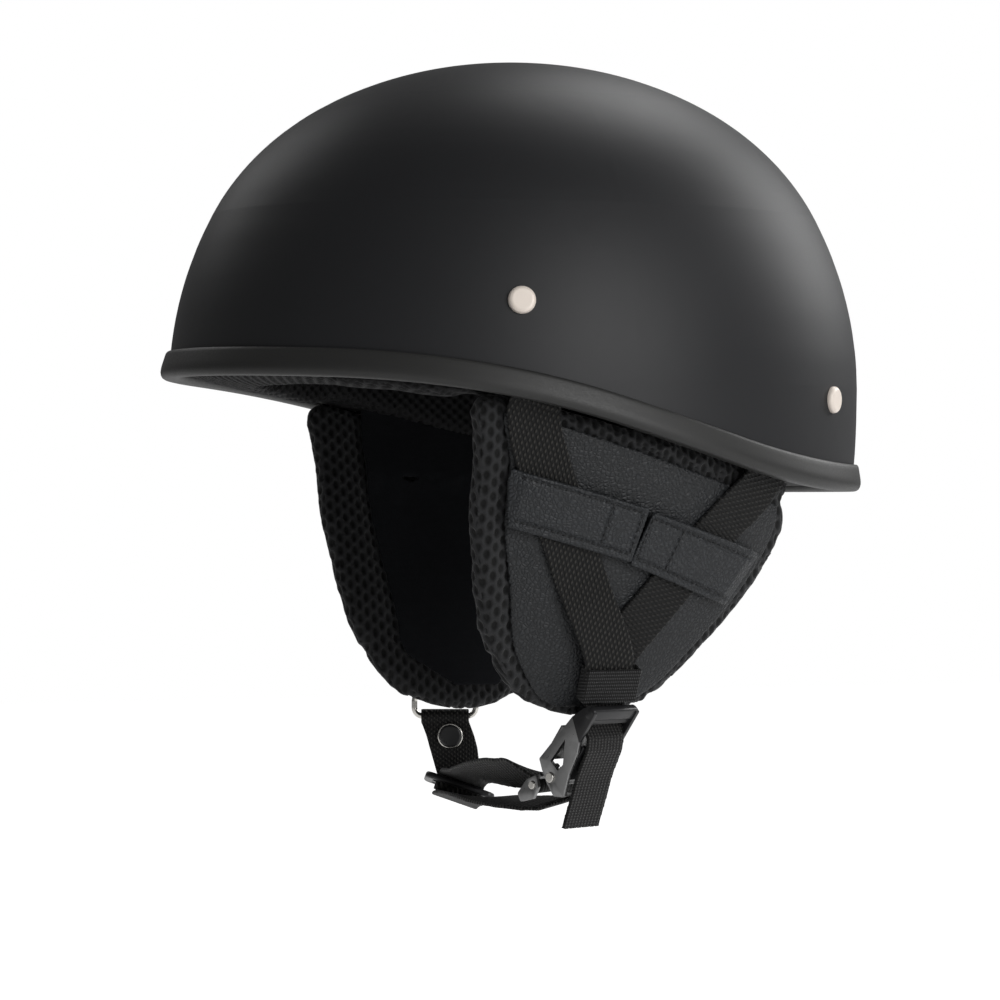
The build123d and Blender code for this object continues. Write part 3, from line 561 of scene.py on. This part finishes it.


# Ribbed webbing whose ribs run along one way, with short slanting floats on each rib; the raised floats
# are lighter, partly the thread's own colour and partly painted highlight, and the low gaps are nearly
# black as painted shade
def webbing(name, along, across, thread=(0.052, 0.049, 0.044), rib=1.5 * MM, slant=0.5):
    finish = Finish(name, WEB_GAP_SHADE, 0.62)
    finish.specular(0.25)
    finish.sheen(0.1)
    ribs = finish.along(across, 1 / rib)
    length = finish.along(along, 1 / (1.6 * rib))
    slanted = finish.math("ADD", length, finish.math("MULTIPLY", ribs, slant))
    wave = finish.math("SINE", finish.math("MULTIPLY", slanted, 2 * math.pi))
    ridge = finish.math("ABSOLUTE", finish.math("SINE", finish.math("MULTIPLY", ribs, math.pi)))
    floats = finish.ranged(wave, -0.3, 0.9)
    raised = finish.math("ADD", finish.math("MULTIPLY", floats, 0.7), 0.3)
    fibre = finish.math("MULTIPLY", finish.noise(3000, 2), 0.15)
    height = finish.math("ADD", finish.math("MULTIPLY", ridge, raised), fibre)
    # Colour follows height: painted shade in the low gaps, and lighter thread with painted highlight on
    # the raised floats
    finish.colour(finish.mixed(finish.ranged(height, 0.5, 1.1), WEB_GAP_SHADE, thread))
    finish.bump(height, 0.45 * MM, 1)
    return finish.material


# Black bead foam coloured very dark, partly its own black and partly painted shade of the helmet's inside;
# darker towards each bead's edge
def bead_foam():
    finish = Finish("black_bead_foam", (0.02, 0.02, 0.021), 0.8)
    cells = finish.node("ShaderNodeTexVoronoi", Vector=finish.place, Scale=320)
    rise = finish.ranged(cells.outputs["Distance"], 0, 0.7, 1, 0)
    finish.colour(finish.mixed(rise, (0.004, 0.004, 0.004), (0.011, 0.011, 0.012)))
    finish.bump(rise, 0.3 * MM, 0.6)
    return finish.material


def grip_cloth():
    finish = Finish("hook_and_loop_cloth", (0.02, 0.02, 0.02), 0.9)
    loops = finish.noise(2200, 4)
    finish.colour(finish.mixed(loops, (0.01, 0.01, 0.01), (0.05, 0.05, 0.05)))
    finish.bump(loops, 0.5 * MM, 1)
    return finish.material


def sewing_thread():
    finish = Finish("black_sewing_thread", (0.01, 0.01, 0.011), 0.6)
    twist = finish.noise(4000, 2)
    finish.colour(finish.mixed(twist, (0.0015, 0.0015, 0.0016), (0.007, 0.007, 0.008)))
    finish.bump(twist, 0.1 * MM, 0.6)
    return finish.material


LACQUER = shell_lacquer()
RUBBER = trim_rubber()
# Near-white, mostly diffuse rivet colour: a painted highlight in place of the bright metal reflection on
# the rivet heads
RIVET_PAINTED_HIGHLIGHT = plain_metal("rivet_head_painted_highlight", (0.95, 0.85, 0.76), 0.42, 0.3, 0.1)
STEEL = plain_metal("plain_steel", (0.6, 0.59, 0.57), 0.35)
BRIGHT = plain_metal("bright_nickel", (0.72, 0.7, 0.66), 0.16, 0.2)
CHEEK = plain_metal("satin_buckle_cheek", (0.3, 0.3, 0.3), 0.36)
BLOCK = black_coating("black_buckle_bars", (0.012, 0.012, 0.013), 0.35)
GLIDE = black_coating("black_slider", (0.014, 0.014, 0.015), 0.32)
CAP = black_coating("black_snap_cap", (0.012, 0.012, 0.013), 0.3)
BORDER_MESH = spacer_mesh("flap_spacer_mesh", (0.013, 0.013, 0.014), (0.036, 0.037, 0.039))
# Much darker copy of the flap's spacer mesh: partly the band's own black and partly painted shade of the
# helmet's inside
BAND_MESH_SHADED = spacer_mesh("band_spacer_mesh", (0.0025, 0.0025, 0.003), (0.009, 0.009, 0.010), 0.02)
LEATHER = leather("grained_flap_leather", (0.019, 0.0205, 0.0225), (0.028, 0.030, 0.033))
TAB_LEATHER = leather("grained_tab_leather", (0.023, 0.025, 0.028), (0.033, 0.036, 0.040))
NAP = napped_cloth("brushed_lining", (0.007, 0.0075, 0.009), (0.014, 0.015, 0.0175))
# Darker copy of the napped lining: partly the crown cloth's own black and partly painted shade of the
# helmet's inside
CROWN_CLOTH_SHADED = napped_cloth("crown_cloth", (0.003, 0.003, 0.0035), (0.006, 0.006, 0.007))
FRONT_WEB = webbing("front_strap_webbing", FRONT_STRAP_WAY, FRONT_STRAP_ACROSS)
# Painted shade: the same webbing as the front strap, with its threads coloured about half as light
REAR_WEB_SHADED = webbing("rear_strap_webbing", REAR_STRAP_ACROSS, REAR_STRAP_WAY, (0.022, 0.0205, 0.0185))
TAIL_WEB = webbing("tail_webbing", BUCKLE_ACROSS, UP, (0.04, 0.038, 0.036), 1.1 * MM, 0)
RING_WEB = webbing("hanger_webbing", UP, RING_ACROSS, rib=1.2 * MM)
CHIN_WEB = webbing("chin_strap_webbing", LEFTWARDS, REARWARDS)
KEEPER_WEB = webbing("keeper_band", UP, REARWARDS, (0.062, 0.062, 0.064), 0.8 * MM, 0)
FOAM_SHADED = bead_foam()
GRIP = grip_cloth()
THREAD = sewing_thread()

# CAD nodes that show as they are, in their own materials
PAINTED_NODES = {
    "shell": LACQUER,
    "strap_rivets": RIVET_PAINTED_HIGHLIGHT,
    "rivet_washers": STEEL,
    "eps_liner": FOAM_SHADED,
    "grip_patches": GRIP,
    "lever_pin": BRIGHT,
    "tongue_pin": BRIGHT,
    "lever_spring": STEEL,
    "strap_ring": BRIGHT,
    "snap_button": CAP,
}


def paint(node, material):
    piece = frame["nodes"][node]
    piece.data.materials.clear()
    piece.data.materials.append(material)
    smooth_shaded(piece, 35)


# For each step round the rim, the trim's lower edge and its outer wall at three heights, evened out
def trim_rows():
    trim_wall = surface_of(frame["nodes"]["edge_trim"])
    rows = []
    for step in range(TRIM_STEPS):
        out = round_way(2 * math.pi * step / TRIM_STEPS)
        low = rim_bottom(trim_wall, out)
        row = [low]
        for share in TRIM_WALL_SHARES:
            start = out * RAY_OUT + UP * (low + share * TRIM_HEIGHT * MM)
            row.append(trim_wall.ray_cast(start, -out)[0].xy.length)
        rows.append(row)
    rows = np.array(rows)
    for repeat in range(TRIM_EVENINGS):
        rows = (np.roll(rows, 1, 0) + 2 * rows + np.roll(rows, -1, 0)) / 4
    return rows


# Rolled rubber trim: its rounded section is led round the edge that the CAD trim marks
def rolled_trim():
    builder = bmesh.new()
    rings = []
    for step, (low, *walls) in enumerate(trim_rows()):
        out = round_way(2 * math.pi * step / TRIM_STEPS)
        ring = []
        for side, height in TRIM_SECTION:
            reach = np.interp(height / TRIM_HEIGHT, TRIM_WALL_SHARES, walls) + side * MM
            ring.append(builder.verts.new(out * reach + UP * (low + height * MM)))
        rings.append(ring)
    for ring, after in zip(rings, rings[1:] + rings[:1]):
        for index in range(len(ring)):
            nearby = (index + 1) % len(ring)
            builder.faces.new((ring[index], ring[nearby], after[nearby], after[index]))
    trim = built(builder, "rolled_edge_trim")
    smooth_shaded(trim, 60)
    finish(trim, RUBBER, "trim_rubber", "edge_trim")


# Metal and plastic parts with softened edges
def softened(node, name, width, material, slot):
    piece = copy_of(node, name)
    bevelled(piece, width, 2, 35)
    smooth_shaded(piece, 40)
    finish(piece, material, slot, node)
    return piece


# Open net pressed into a padded surface: 1 on the strands, 0 in the holes
def netted(piece, across, up, half, depth):
    mesh = piece.data
    places, normals = places_and_normals(mesh)
    forwards = np.abs(normals[:, 1]) > np.abs(normals[:, 0])
    way = np.where(forwards, places[:, 0], places[:, 1])
    level = np.abs(normals[:, 2]) > LEVEL_SHARE
    rise = np.where(level, np.hypot(places[:, 0], places[:, 1]), places[:, 2])
    reach = np.full(len(places), np.inf)
    for shift in (0, 0.5):
        side = (way / across + shift) % 1 - 0.5
        height = (rise / up + shift) % 1 - 0.5
        reach = np.minimum(reach, np.hypot(side * across / half[0], height * up / half[1]))
    net = np.clip((reach - HOLE_FLOOR_SHARE) / (HOLE_RIM_SHARE - HOLE_FLOOR_SHARE), 0, 1)
    places -= normals * ((1 - net) * depth)[:, None]
    attribute = mesh.attributes.new("net", "FLOAT", "POINT")
    attribute.data.foreach_set("value", net)
    put_places(mesh, places)


# Satin metal cheeks under a black block with the two bars
def buckle_pieces():
    housing = softened("buckle_housing", "buckle_cheeks", CHEEK_EDGE, CHEEK, "buckle_black")
    housing.data.materials.append(BLOCK)
    for face in housing.data.polygons:
        along = (face.center - BUCKLE_SPOT).dot(BUCKLE_WAY)
        if along < BLOCK_END:
            face.material_index = 1


# Moulded cap over the upper bar, made as a box and turned to the buckle
def buckle_cap():
    bpy.ops.object.select_all(action="DESELECT")
    bpy.ops.mesh.primitive_cube_add(size=1)
    cap = bpy.context.active_object
    cap.name = "buckle_cap"
    cap.scale = CAP_SIZE
    bpy.ops.object.transform_apply(scale=True)
    bevelled(cap, CAP_EDGE, 3, 40)
    chin_way = BUCKLE_ACROSS.cross(BUCKLE_WAY)
    turn = Matrix((BUCKLE_WAY, chin_way, BUCKLE_ACROSS)).transposed().to_4x4()
    cap.matrix_world = Matrix.Translation(BUCKLE_SPOT + turn @ CAP_PLACE) @ turn
    bpy.ops.object.transform_apply(location=True, rotation=True, scale=True)
    smooth_shaded(cap, 40)
    finish(cap, BLOCK, "buckle_black", body="helmet")


# Bright ring round the snap's cap
def snap_rim():
    bpy.ops.object.select_all(action="DESELECT")
    bpy.ops.mesh.primitive_torus_add(
        location=SNAP_SPOT + SNAP_OUT * SNAP_RISE,
        rotation=SNAP_OUT.to_track_quat("Z", "Y").to_euler(),
        major_radius=SNAP_RADIUS,
        minor_radius=SNAP_WIRE,
        major_segments=48,
        minor_segments=10,
    )
    rim = bpy.context.active_object
    rim.name = "snap_rim"
    bpy.ops.object.transform_apply(location=True, rotation=True, scale=True)
    smooth_shaded(rim)
    finish(rim, BRIGHT, "snap_steel", body="chin_strap")


# Leather cut from the CAD face, below its sloping upper seam
def leather_panel():
    panel = copy_of("left_flap_face", "left_leather_panel")
    cut(panel, LEATHER_SEAM, LEATHER_SLOPE)
    remeshed(panel, PANEL_VOXEL, 3)
    slid(panel, "left", leather_move)
    smooth_shaded(panel)
    return panel


# Lining cut to its pointed lower end, and drawn up at its top
def lining_panel():
    panel = copy_of("left_flap_lining", "left_lining_panel")
    for place, way in LINING_CUTS:
        cut(panel, Vector(place) * MM, way)
    for vertex in panel.data.vertices:
        if vertex.co.z > LINING_TOP:
            vertex.co.z += LINING_RISE
    remeshed(panel, PANEL_VOXEL, 3)
    smooth_shaded(panel)
    return panel


# Cloth blown up from within, each point held to a small swell along its own way out
def inflated(pad):
    before = [(vertex.co.copy(), vertex.normal.copy()) for vertex in pad.data.vertices]
    cloth = pad.modifiers.new("cloth", "CLOTH")
    cloth.settings.use_pressure = True
    cloth.settings.uniform_pressure_force = PAD_PRESSURE
    cloth.settings.effector_weights.gravity = 0
    for step in range(1, PAD_STEPS + 1):
        bpy.context.scene.frame_set(step)
    apply_modifiers(pad)
    bpy.context.scene.frame_set(1)
    for vertex, (place, normal) in zip(pad.data.vertices, before):
        swell = (vertex.co - place).dot(normal)
        vertex.co = place + normal * min(PAD_CAP, max(0, swell))


# The flap's padding swells inside its cover, held down where the leather and the lining are sewn on
def swollen_flap(panels):
    pad = copy_of("left_ear_flap", "left_flap_padding")
    cover = surface_of(pad)
    sewn = [surface_of(panel) for panel in panels]
    remeshed(pad, PAD_VOXEL, 2)
    inflated(pad)
    subdivided(pad, 1)
    for vertex in pad.data.vertices:
        spot, normal = cover.find_nearest(vertex.co)[:2]
        swell = min(PAD_CAP, max(0, (vertex.co - spot).dot(normal)))
        near = min(panel.find_nearest(vertex.co)[3] for panel in sewn)
        share = eased(near, FACE_REACH, 2 * FACE_REACH)
        vertex.co = spot + normal * (share * (BORDER_RISE + swell) - PAD_SINK)
    smoothed(pad, 3)
    subdivided(pad, 2)
    netted(pad, HOLE_ACROSS, HOLE_UP, HOLE_HALF, HOLE_DEPTH)
    smooth_shaded(pad)
    return pad


# The right flap hangs a little lower, as it does in the photograph
def lowered(piece):
    for vertex in piece.data.vertices:
        share = min(1, max(0, (-vertex.co.z - SAG_START) / SAG_REACH))
        vertex.co.z -= RIGHT_SAG * share * share


def flap_pieces():
    panels = [leather_panel(), lining_panel()]
    left = [swollen_flap(panels), *panels]
    names = ("right_flap_padding", "right_leather_panel", "right_lining_panel")
    right = [mirrored(piece, name) for piece, name in zip(left, names)]
    for piece in right:
        lowered(piece)
        smooth_shaded(piece)
    for side, (pad, leather_face, lining) in (("left", left), ("right", right)):
        finish(pad, BORDER_MESH, "flap_mesh", side + "_ear_flap")
        finish(leather_face, LEATHER, "flap_leather", side + "_flap_face")
        finish(lining, NAP, "flap_velour", side + "_flap_lining")


# Slide a piece over the flap without changing how far it stands off it
def slid(piece, side, move_at):
    surface = surface_of(frame["nodes"][side + "_ear_flap"])
    sign = 1 if side == "left" else -1

    def skin(y, z):
        spot = surface.ray_cast(Vector((sign * RAY_SIDE, y, z)), LEFTWARDS * -sign)[0]
        return None if spot is None else spot.x

    for vertex in piece.data.vertices:
        x, y, z = vertex.co
        aside, rise = move_at(y, z)
        before = skin(y, z)
        after = skin(y + aside, z + rise)
        along = 0 if before is None or after is None else after - before
        vertex.co = (x + along, y + aside, z + rise)


# The front strap moves forwards below the rim, and less so again on its way into the keeper
def front_strap_move(y, z):
    below_rim = eased(-z, *FRONT_STRAP_START)
    near_keeper = eased(-z, *FRONT_STRAP_END)
    return FRONT_STRAP_SHIFT * below_rim * (1 - FRONT_STRAP_LOSS_SHARE * near_keeper), 0


# The leather is drawn out at its front edge, and at its rear edge below the rim
def leather_move(y, z):
    front = eased(-y, *LEATHER_SHIFT_RANGE)
    rear = eased(y, *LEATHER_REAR_RANGE) * eased(-z, *LEATHER_REAR_DEPTH)
    return LEATHER_SHIFT * front + LEATHER_REAR * rear, 0


def strap_piece(node, name, material):
    strap = copy_of(node, name)
    remeshed(strap, STRAP_VOXEL, 3)
    if node.endswith("_front_strap"):
        slid(strap, node.split("_")[0], front_strap_move)
    if node in WEB_TURNS:
        twisted(strap, *WEB_TURNS[node])
    smooth_shaded(strap)
    finish(strap, material, "webbing_black", node)


# A chin web turns its face to the outside on its way to the buckle
def twisted(piece, start, full, last, end, lift, slope):
    rows = {}
    for vertex in piece.data.vertices:
        rows.setdefault(round(vertex.co.x / WEB_ROW), []).append(vertex.co.y)
    marks = sorted(rows)
    middles = [(min(rows[mark]) + max(rows[mark])) / 2 for mark in marks]
    for vertex in piece.data.vertices:
        x, y, z = vertex.co
        weight = eased(x, start * MM, full * MM) * (1 - eased(x, last * MM, end * MM))
        middle = np.interp(x / WEB_ROW, marks, middles)
        vertex.co.z += weight * (lift * MM + slope * (y - middle))


# Stitches along a line between two places of the side view, as one small capsule for each
def stitch_row(builder, surface, sign, start, end):
    length = math.hypot(end[0] - start[0], end[1] - start[1])
    count = max(2, round(length / STITCH_PITCH))
    half = STITCH_LENGTH / 2 / length
    for index in range(count):
        share = (index + 0.5) / count
        hits = []
        for place in (share - half, share + half):
            y = start[0] + (end[0] - start[0]) * place
            z = start[1] + (end[1] - start[1]) * place
            hits.append(surface.ray_cast(Vector((sign * RAY_SIDE, y, z)), LEFTWARDS * -sign))
        first, last = hits[0][0], hits[1][0]
        if first is not None and last is not None:
            normal = hits[0][1]
            centre = (first + last) / 2 + normal * STITCH_THICK * STITCH_RISE_SHARE
            stitch(builder, centre, last - first, normal)


def stitch(builder, centre, span, normal):
    side = normal.cross(span).normalized()
    rings = []
    for along, thick in STITCH_SHARES:
        ring = []
        for turn in range(STITCH_SIDES):
            angle = 2 * math.pi * turn / STITCH_SIDES
            off = (side * math.cos(angle) + normal * math.sin(angle)) * STITCH_THICK / 2 * thick
            ring.append(builder.verts.new(centre + span * along + off))
        rings.append(ring)
    for ring, after in zip(rings, rings[1:]):
        for turn in range(STITCH_SIDES):
            nearby = (turn + 1) % STITCH_SIDES
            builder.faces.new((ring[turn], ring[nearby], after[nearby], after[turn]))
    builder.faces.new(rings[0][::-1])
    builder.faces.new(rings[-1])


# Leather tab with rounded edges, seams along both sides and a sewn box at its free end
def tab_piece(side, end):
    node = side + "_" + end + "_tab"
    sign = 1 if side == "left" else -1
    root, meet = TAB_ENDS[end]
    along = Vector((0, meet[0] - root[0], meet[1] - root[1]))
    length = along.length
    along.normalize()
    across = Vector((0, -along.z, along.y)) if along.y > 0 else Vector((0, along.z, -along.y))
    (root_aside, root_rise), (free_aside, free_rise), slant = TAB_MOVES[end]

    def place(way, off):
        spot = Vector((0, *root)) + along * way * length + across * off - UP * TAB_DROP
        return spot.y, spot.z

    def move(y, z):
        offset = Vector((0, y, z)) - Vector((0, *root))
        share = min(1, max(0, offset.dot(along) / length))
        off = offset.dot(across) / TAB_HALF
        aside = (root_aside + slant * off) * (1 - share) + free_aside * share
        return aside * MM, (root_rise * (1 - share) + free_rise * share) * MM

    inset = TAB_HALF - SEAM_INSET
    first, box, last = SEAM_START_SHARE, SEWN_BOX_SHARES[end], SEAM_END_SHARE
    seams = [(place(first, off), place(last, off)) for off in (inset, -inset)]
    seams += [(place(way, -inset), place(way, inset)) for way in (last, box)]
    tab = copy_of(node, node + "_leather")
    bevelled(tab, TAB_EDGE, 3, 50)
    if end == "front":
        corner = Vector((sign * TAB_CORNER.x, TAB_CORNER.y, TAB_CORNER.z))
        cut(tab, corner, Vector((sign * SIDE_WAY.x, SIDE_WAY.y, 0)), far_goes=False)
    remeshed(tab, TAB_VOXEL, 2)
    surface = surface_of(tab)
    builder = bmesh.new()
    for seam in seams:
        stitch_row(builder, surface, sign, *seam)
    stitches = built(builder, node + "_stitches")
    slid(stitches, side, move)
    smooth_shaded(stitches)
    finish(stitches, THREAD, "flap_leather", body=node)
    pressed(tab, seams)
    slid(tab, side, move)
    smooth_shaded(tab)
    finish(tab, TAB_LEATHER, "flap_leather", node)


# Press the leather in along its seams
def pressed(piece, seams):
    mesh = piece.data
    places, normals = places_and_normals(mesh)
    nearest = np.full(len(places), np.inf)
    for start, end in seams:
        way = np.subtract(end, start)
        length = np.hypot(*way)
        way /= length
        offset = places[:, 1:] - np.array(start)
        run = np.clip(offset @ way, 0, length)
        nearest = np.minimum(nearest, np.hypot(*(offset - run[:, None] * way).T))
    dent = np.exp(-((nearest / SEAM_REACH) ** 2)) * SEAM_DENT
    put_places(mesh, places - normals * dent[:, None])


# Degrees round the helmet from its side, less than nothing towards the front, alike on both sides
def degrees_round(place):
    return math.degrees(math.atan2(place.y, abs(place.x)))


# For rows round the headband: its lowest height, its walls near there, and the trim's edge and inner wall
def hem_rows(band):
    trim_wall = surface_of(frame["nodes"]["edge_trim"])
    rows = {}
    for vertex in band.data.vertices:
        row = rows.setdefault(round(degrees_round(vertex.co) / HEM_ROW), [])
        row.append((vertex.co.z, vertex.co.xy.length))
    table = []
    for mark in sorted(rows):
        low = min(rows[mark])[0]
        reaches = [reach for height, reach in rows[mark] if height < low + HEM_DEPTH]
        out = round_way(math.radians(mark * HEM_ROW))
        rim = rim_bottom(trim_wall, out)
        rim_wall = trim_wall.ray_cast(UP * (rim + HEM_WALL_HEIGHT), out)[0].xy.length
        table.append((mark * HEM_ROW, low, min(reaches), max(reaches), rim, rim_wall))
    return zip(*table)


# The headband's mesh is turned out below the foam as far as the trim, and hangs a little below it
def hemmed(band):
    angles, *columns = hem_rows(band)
    for vertex in band.data.vertices:
        angle = degrees_round(vertex.co)
        found = [float(np.interp(angle, angles, column)) for column in columns]
        low, inside, outside, rim, rim_wall = found
        reach = vertex.co.xy.length
        share = eased(reach, inside + HEM_INSET, outside)
        share *= 1 - eased(vertex.co.z, rim + HEM_INSET, rim + HEM_TOP)
        share *= 1 - eased(angle, HEM_END - HEM_FADE, HEM_END)
        drop = HEM_DROPS[0 if vertex.co.x > 0 else 1] * eased(angle, HEM_DROP_START, HEM_DROP_FULL)
        widened = 1 + share * (rim_wall - HEM_GAP - outside) / reach
        vertex.co.x *= widened
        vertex.co.y *= widened
        vertex.co.z += share * (rim - drop - low)


def liner_piece(node, name, material, slot):
    liner = copy_of(node, name)
    remeshed(liner, LINER_VOXEL, 6)
    if node == "headband":
        hemmed(liner)
        remeshed(liner, HEM_VOXEL, 2)
    if slot == "band_mesh":
        subdivided(liner, 2)
        netted(liner, BAND_ACROSS, BAND_UP, BAND_HALF, HOLE_DEPTH)
    smooth_shaded(liner)
    finish(liner, material, slot, node)


# Ribbed band round the two straps, drawn a little narrower
def keeper_band(side):
    keeper = copy_of(side + "_strap_keeper", side + "_keeper_band")
    remeshed(keeper, KEEPER_VOXEL, 3)
    middle = sum(vertex.co.y for vertex in keeper.data.vertices) / len(keeper.data.vertices)
    for vertex in keeper.data.vertices:
        vertex.co.y = middle + (vertex.co.y - middle) * KEEPER_SHARE
    smooth_shaded(keeper)
    finish(keeper, KEEPER_WEB, "keeper_band", side + "_strap_keeper")


for node, material in PAINTED_NODES.items():
    paint(node, material)
rolled_trim()
flap_pieces()
for side in ("left", "right"):
    strap_piece(side + "_front_strap", side + "_front_webbing", FRONT_WEB)
    strap_piece(side + "_rear_strap", side + "_rear_webbing", REAR_WEB_SHADED)
    keeper_band(side)
    tab_piece(side, "front")
    tab_piece(side, "rear")
strap_piece("webbing_tail", "tail_webbing", TAIL_WEB)
strap_piece("ring_loop", "ring_loop_webbing", RING_WEB)
strap_piece("hanger_web", "hanger_webbing", RING_WEB)
strap_piece("chin_strap", "chin_webbing", CHIN_WEB)
strap_piece("strap_free_end", "free_end_webbing", CHIN_WEB)
liner_piece("headband", "mesh_headband", BAND_MESH_SHADED, "band_mesh")
liner_piece("nape_pad", "mesh_nape_pad", BAND_MESH_SHADED, "band_mesh")
liner_piece("crown_liner", "crown_cloth_liner", CROWN_CLOTH_SHADED, "lining_cloth")
buckle_pieces()
buckle_cap()
softened("release_lever", "lever_plate", PLATE_EDGE, BLOCK, "buckle_black")
softened("buckle_tongue", "tongue_plate", PLATE_EDGE, CHEEK, "buckle_black")
softened("tri_glide", "moulded_slider", SLIDER_EDGE, GLIDE, "slider_plastic")
snap_rim()


# Floor that looks white to the camera and dimmer in reflections, and keeps the helmet's shadow
def floor_paint():
    paper = Finish("pale_floor", (FLOOR_GREY,) * 3, 0.9)
    paths = paper.node("ShaderNodeLightPath")
    seen = paper.math("MULTIPLY", paths.outputs["Is Camera Ray"], FLOOR_SEEN)
    glow = paper.math("MULTIPLY_ADD", paths.outputs["Is Glossy Ray"], FLOOR_REFLECTED, seen)
    paper.shader.inputs["Emission Color"].default_value = (1, 1, 1, 1)
    paper.feed(paper.shader.inputs["Emission Strength"], glow)
    return paper.material


def pale_floor():
    bpy.ops.object.select_all(action="DESELECT")
    bpy.ops.mesh.primitive_plane_add(size=FLOOR_SIZE, location=(0, 0, cad_box[0][2] - FLOOR_DROP))
    floor = bpy.context.active_object
    floor.name = "pale_floor"
    floor.data.materials.append(floor_paint())


# White backdrop that lights the helmet only a little
def backdrop():
    world = bpy.data.worlds.new("studio")
    bpy.context.scene.world = world
    world.use_nodes = True
    tree = world.node_tree
    back = tree.nodes["Background"]
    back.inputs["Color"].default_value = (1, 1, 1, 1)
    paths = tree.nodes.new("ShaderNodeLightPath")
    strength = tree.nodes.new("ShaderNodeMapRange")
    strength.inputs["To Min"].default_value = ROOM_LIGHT
    strength.inputs["To Max"].default_value = 1
    tree.links.new(paths.outputs["Is Camera Ray"], strength.inputs["Value"])
    tree.links.new(strength.outputs["Result"], back.inputs["Strength"])


def lamp(name, steps, aim_height, size, power):
    light = bpy.data.lights.new(name, "AREA")
    light.size = size
    light.energy = power
    place = SIDE_WAY * steps[0] + BACK_WAY * steps[1] + UP * steps[2]
    softbox = linked(name, light)
    softbox.location = place
    softbox.rotation_euler = (UP * aim_height - place).to_track_quat("-Z", "Y").to_euler()


def camera():
    lens = bpy.data.cameras.new("camera")
    lens.lens = CAMERA_LENS
    lens.sensor_width = SENSOR
    viewer = linked("camera", lens)
    viewer.location = SIDE_WAY * AIM_SIDE + UP * AIM_HEIGHT + BACK_WAY * CAMERA_DISTANCE
    viewer.rotation_euler = (-BACK_WAY).to_track_quat("-Z", "Y").to_euler()
    bpy.context.scene.camera = viewer


pale_floor()
backdrop()
for name, values in LAMPS.items():
    lamp(name, *values)
camera()
bpy.context.scene.view_settings.view_transform = "Standard"
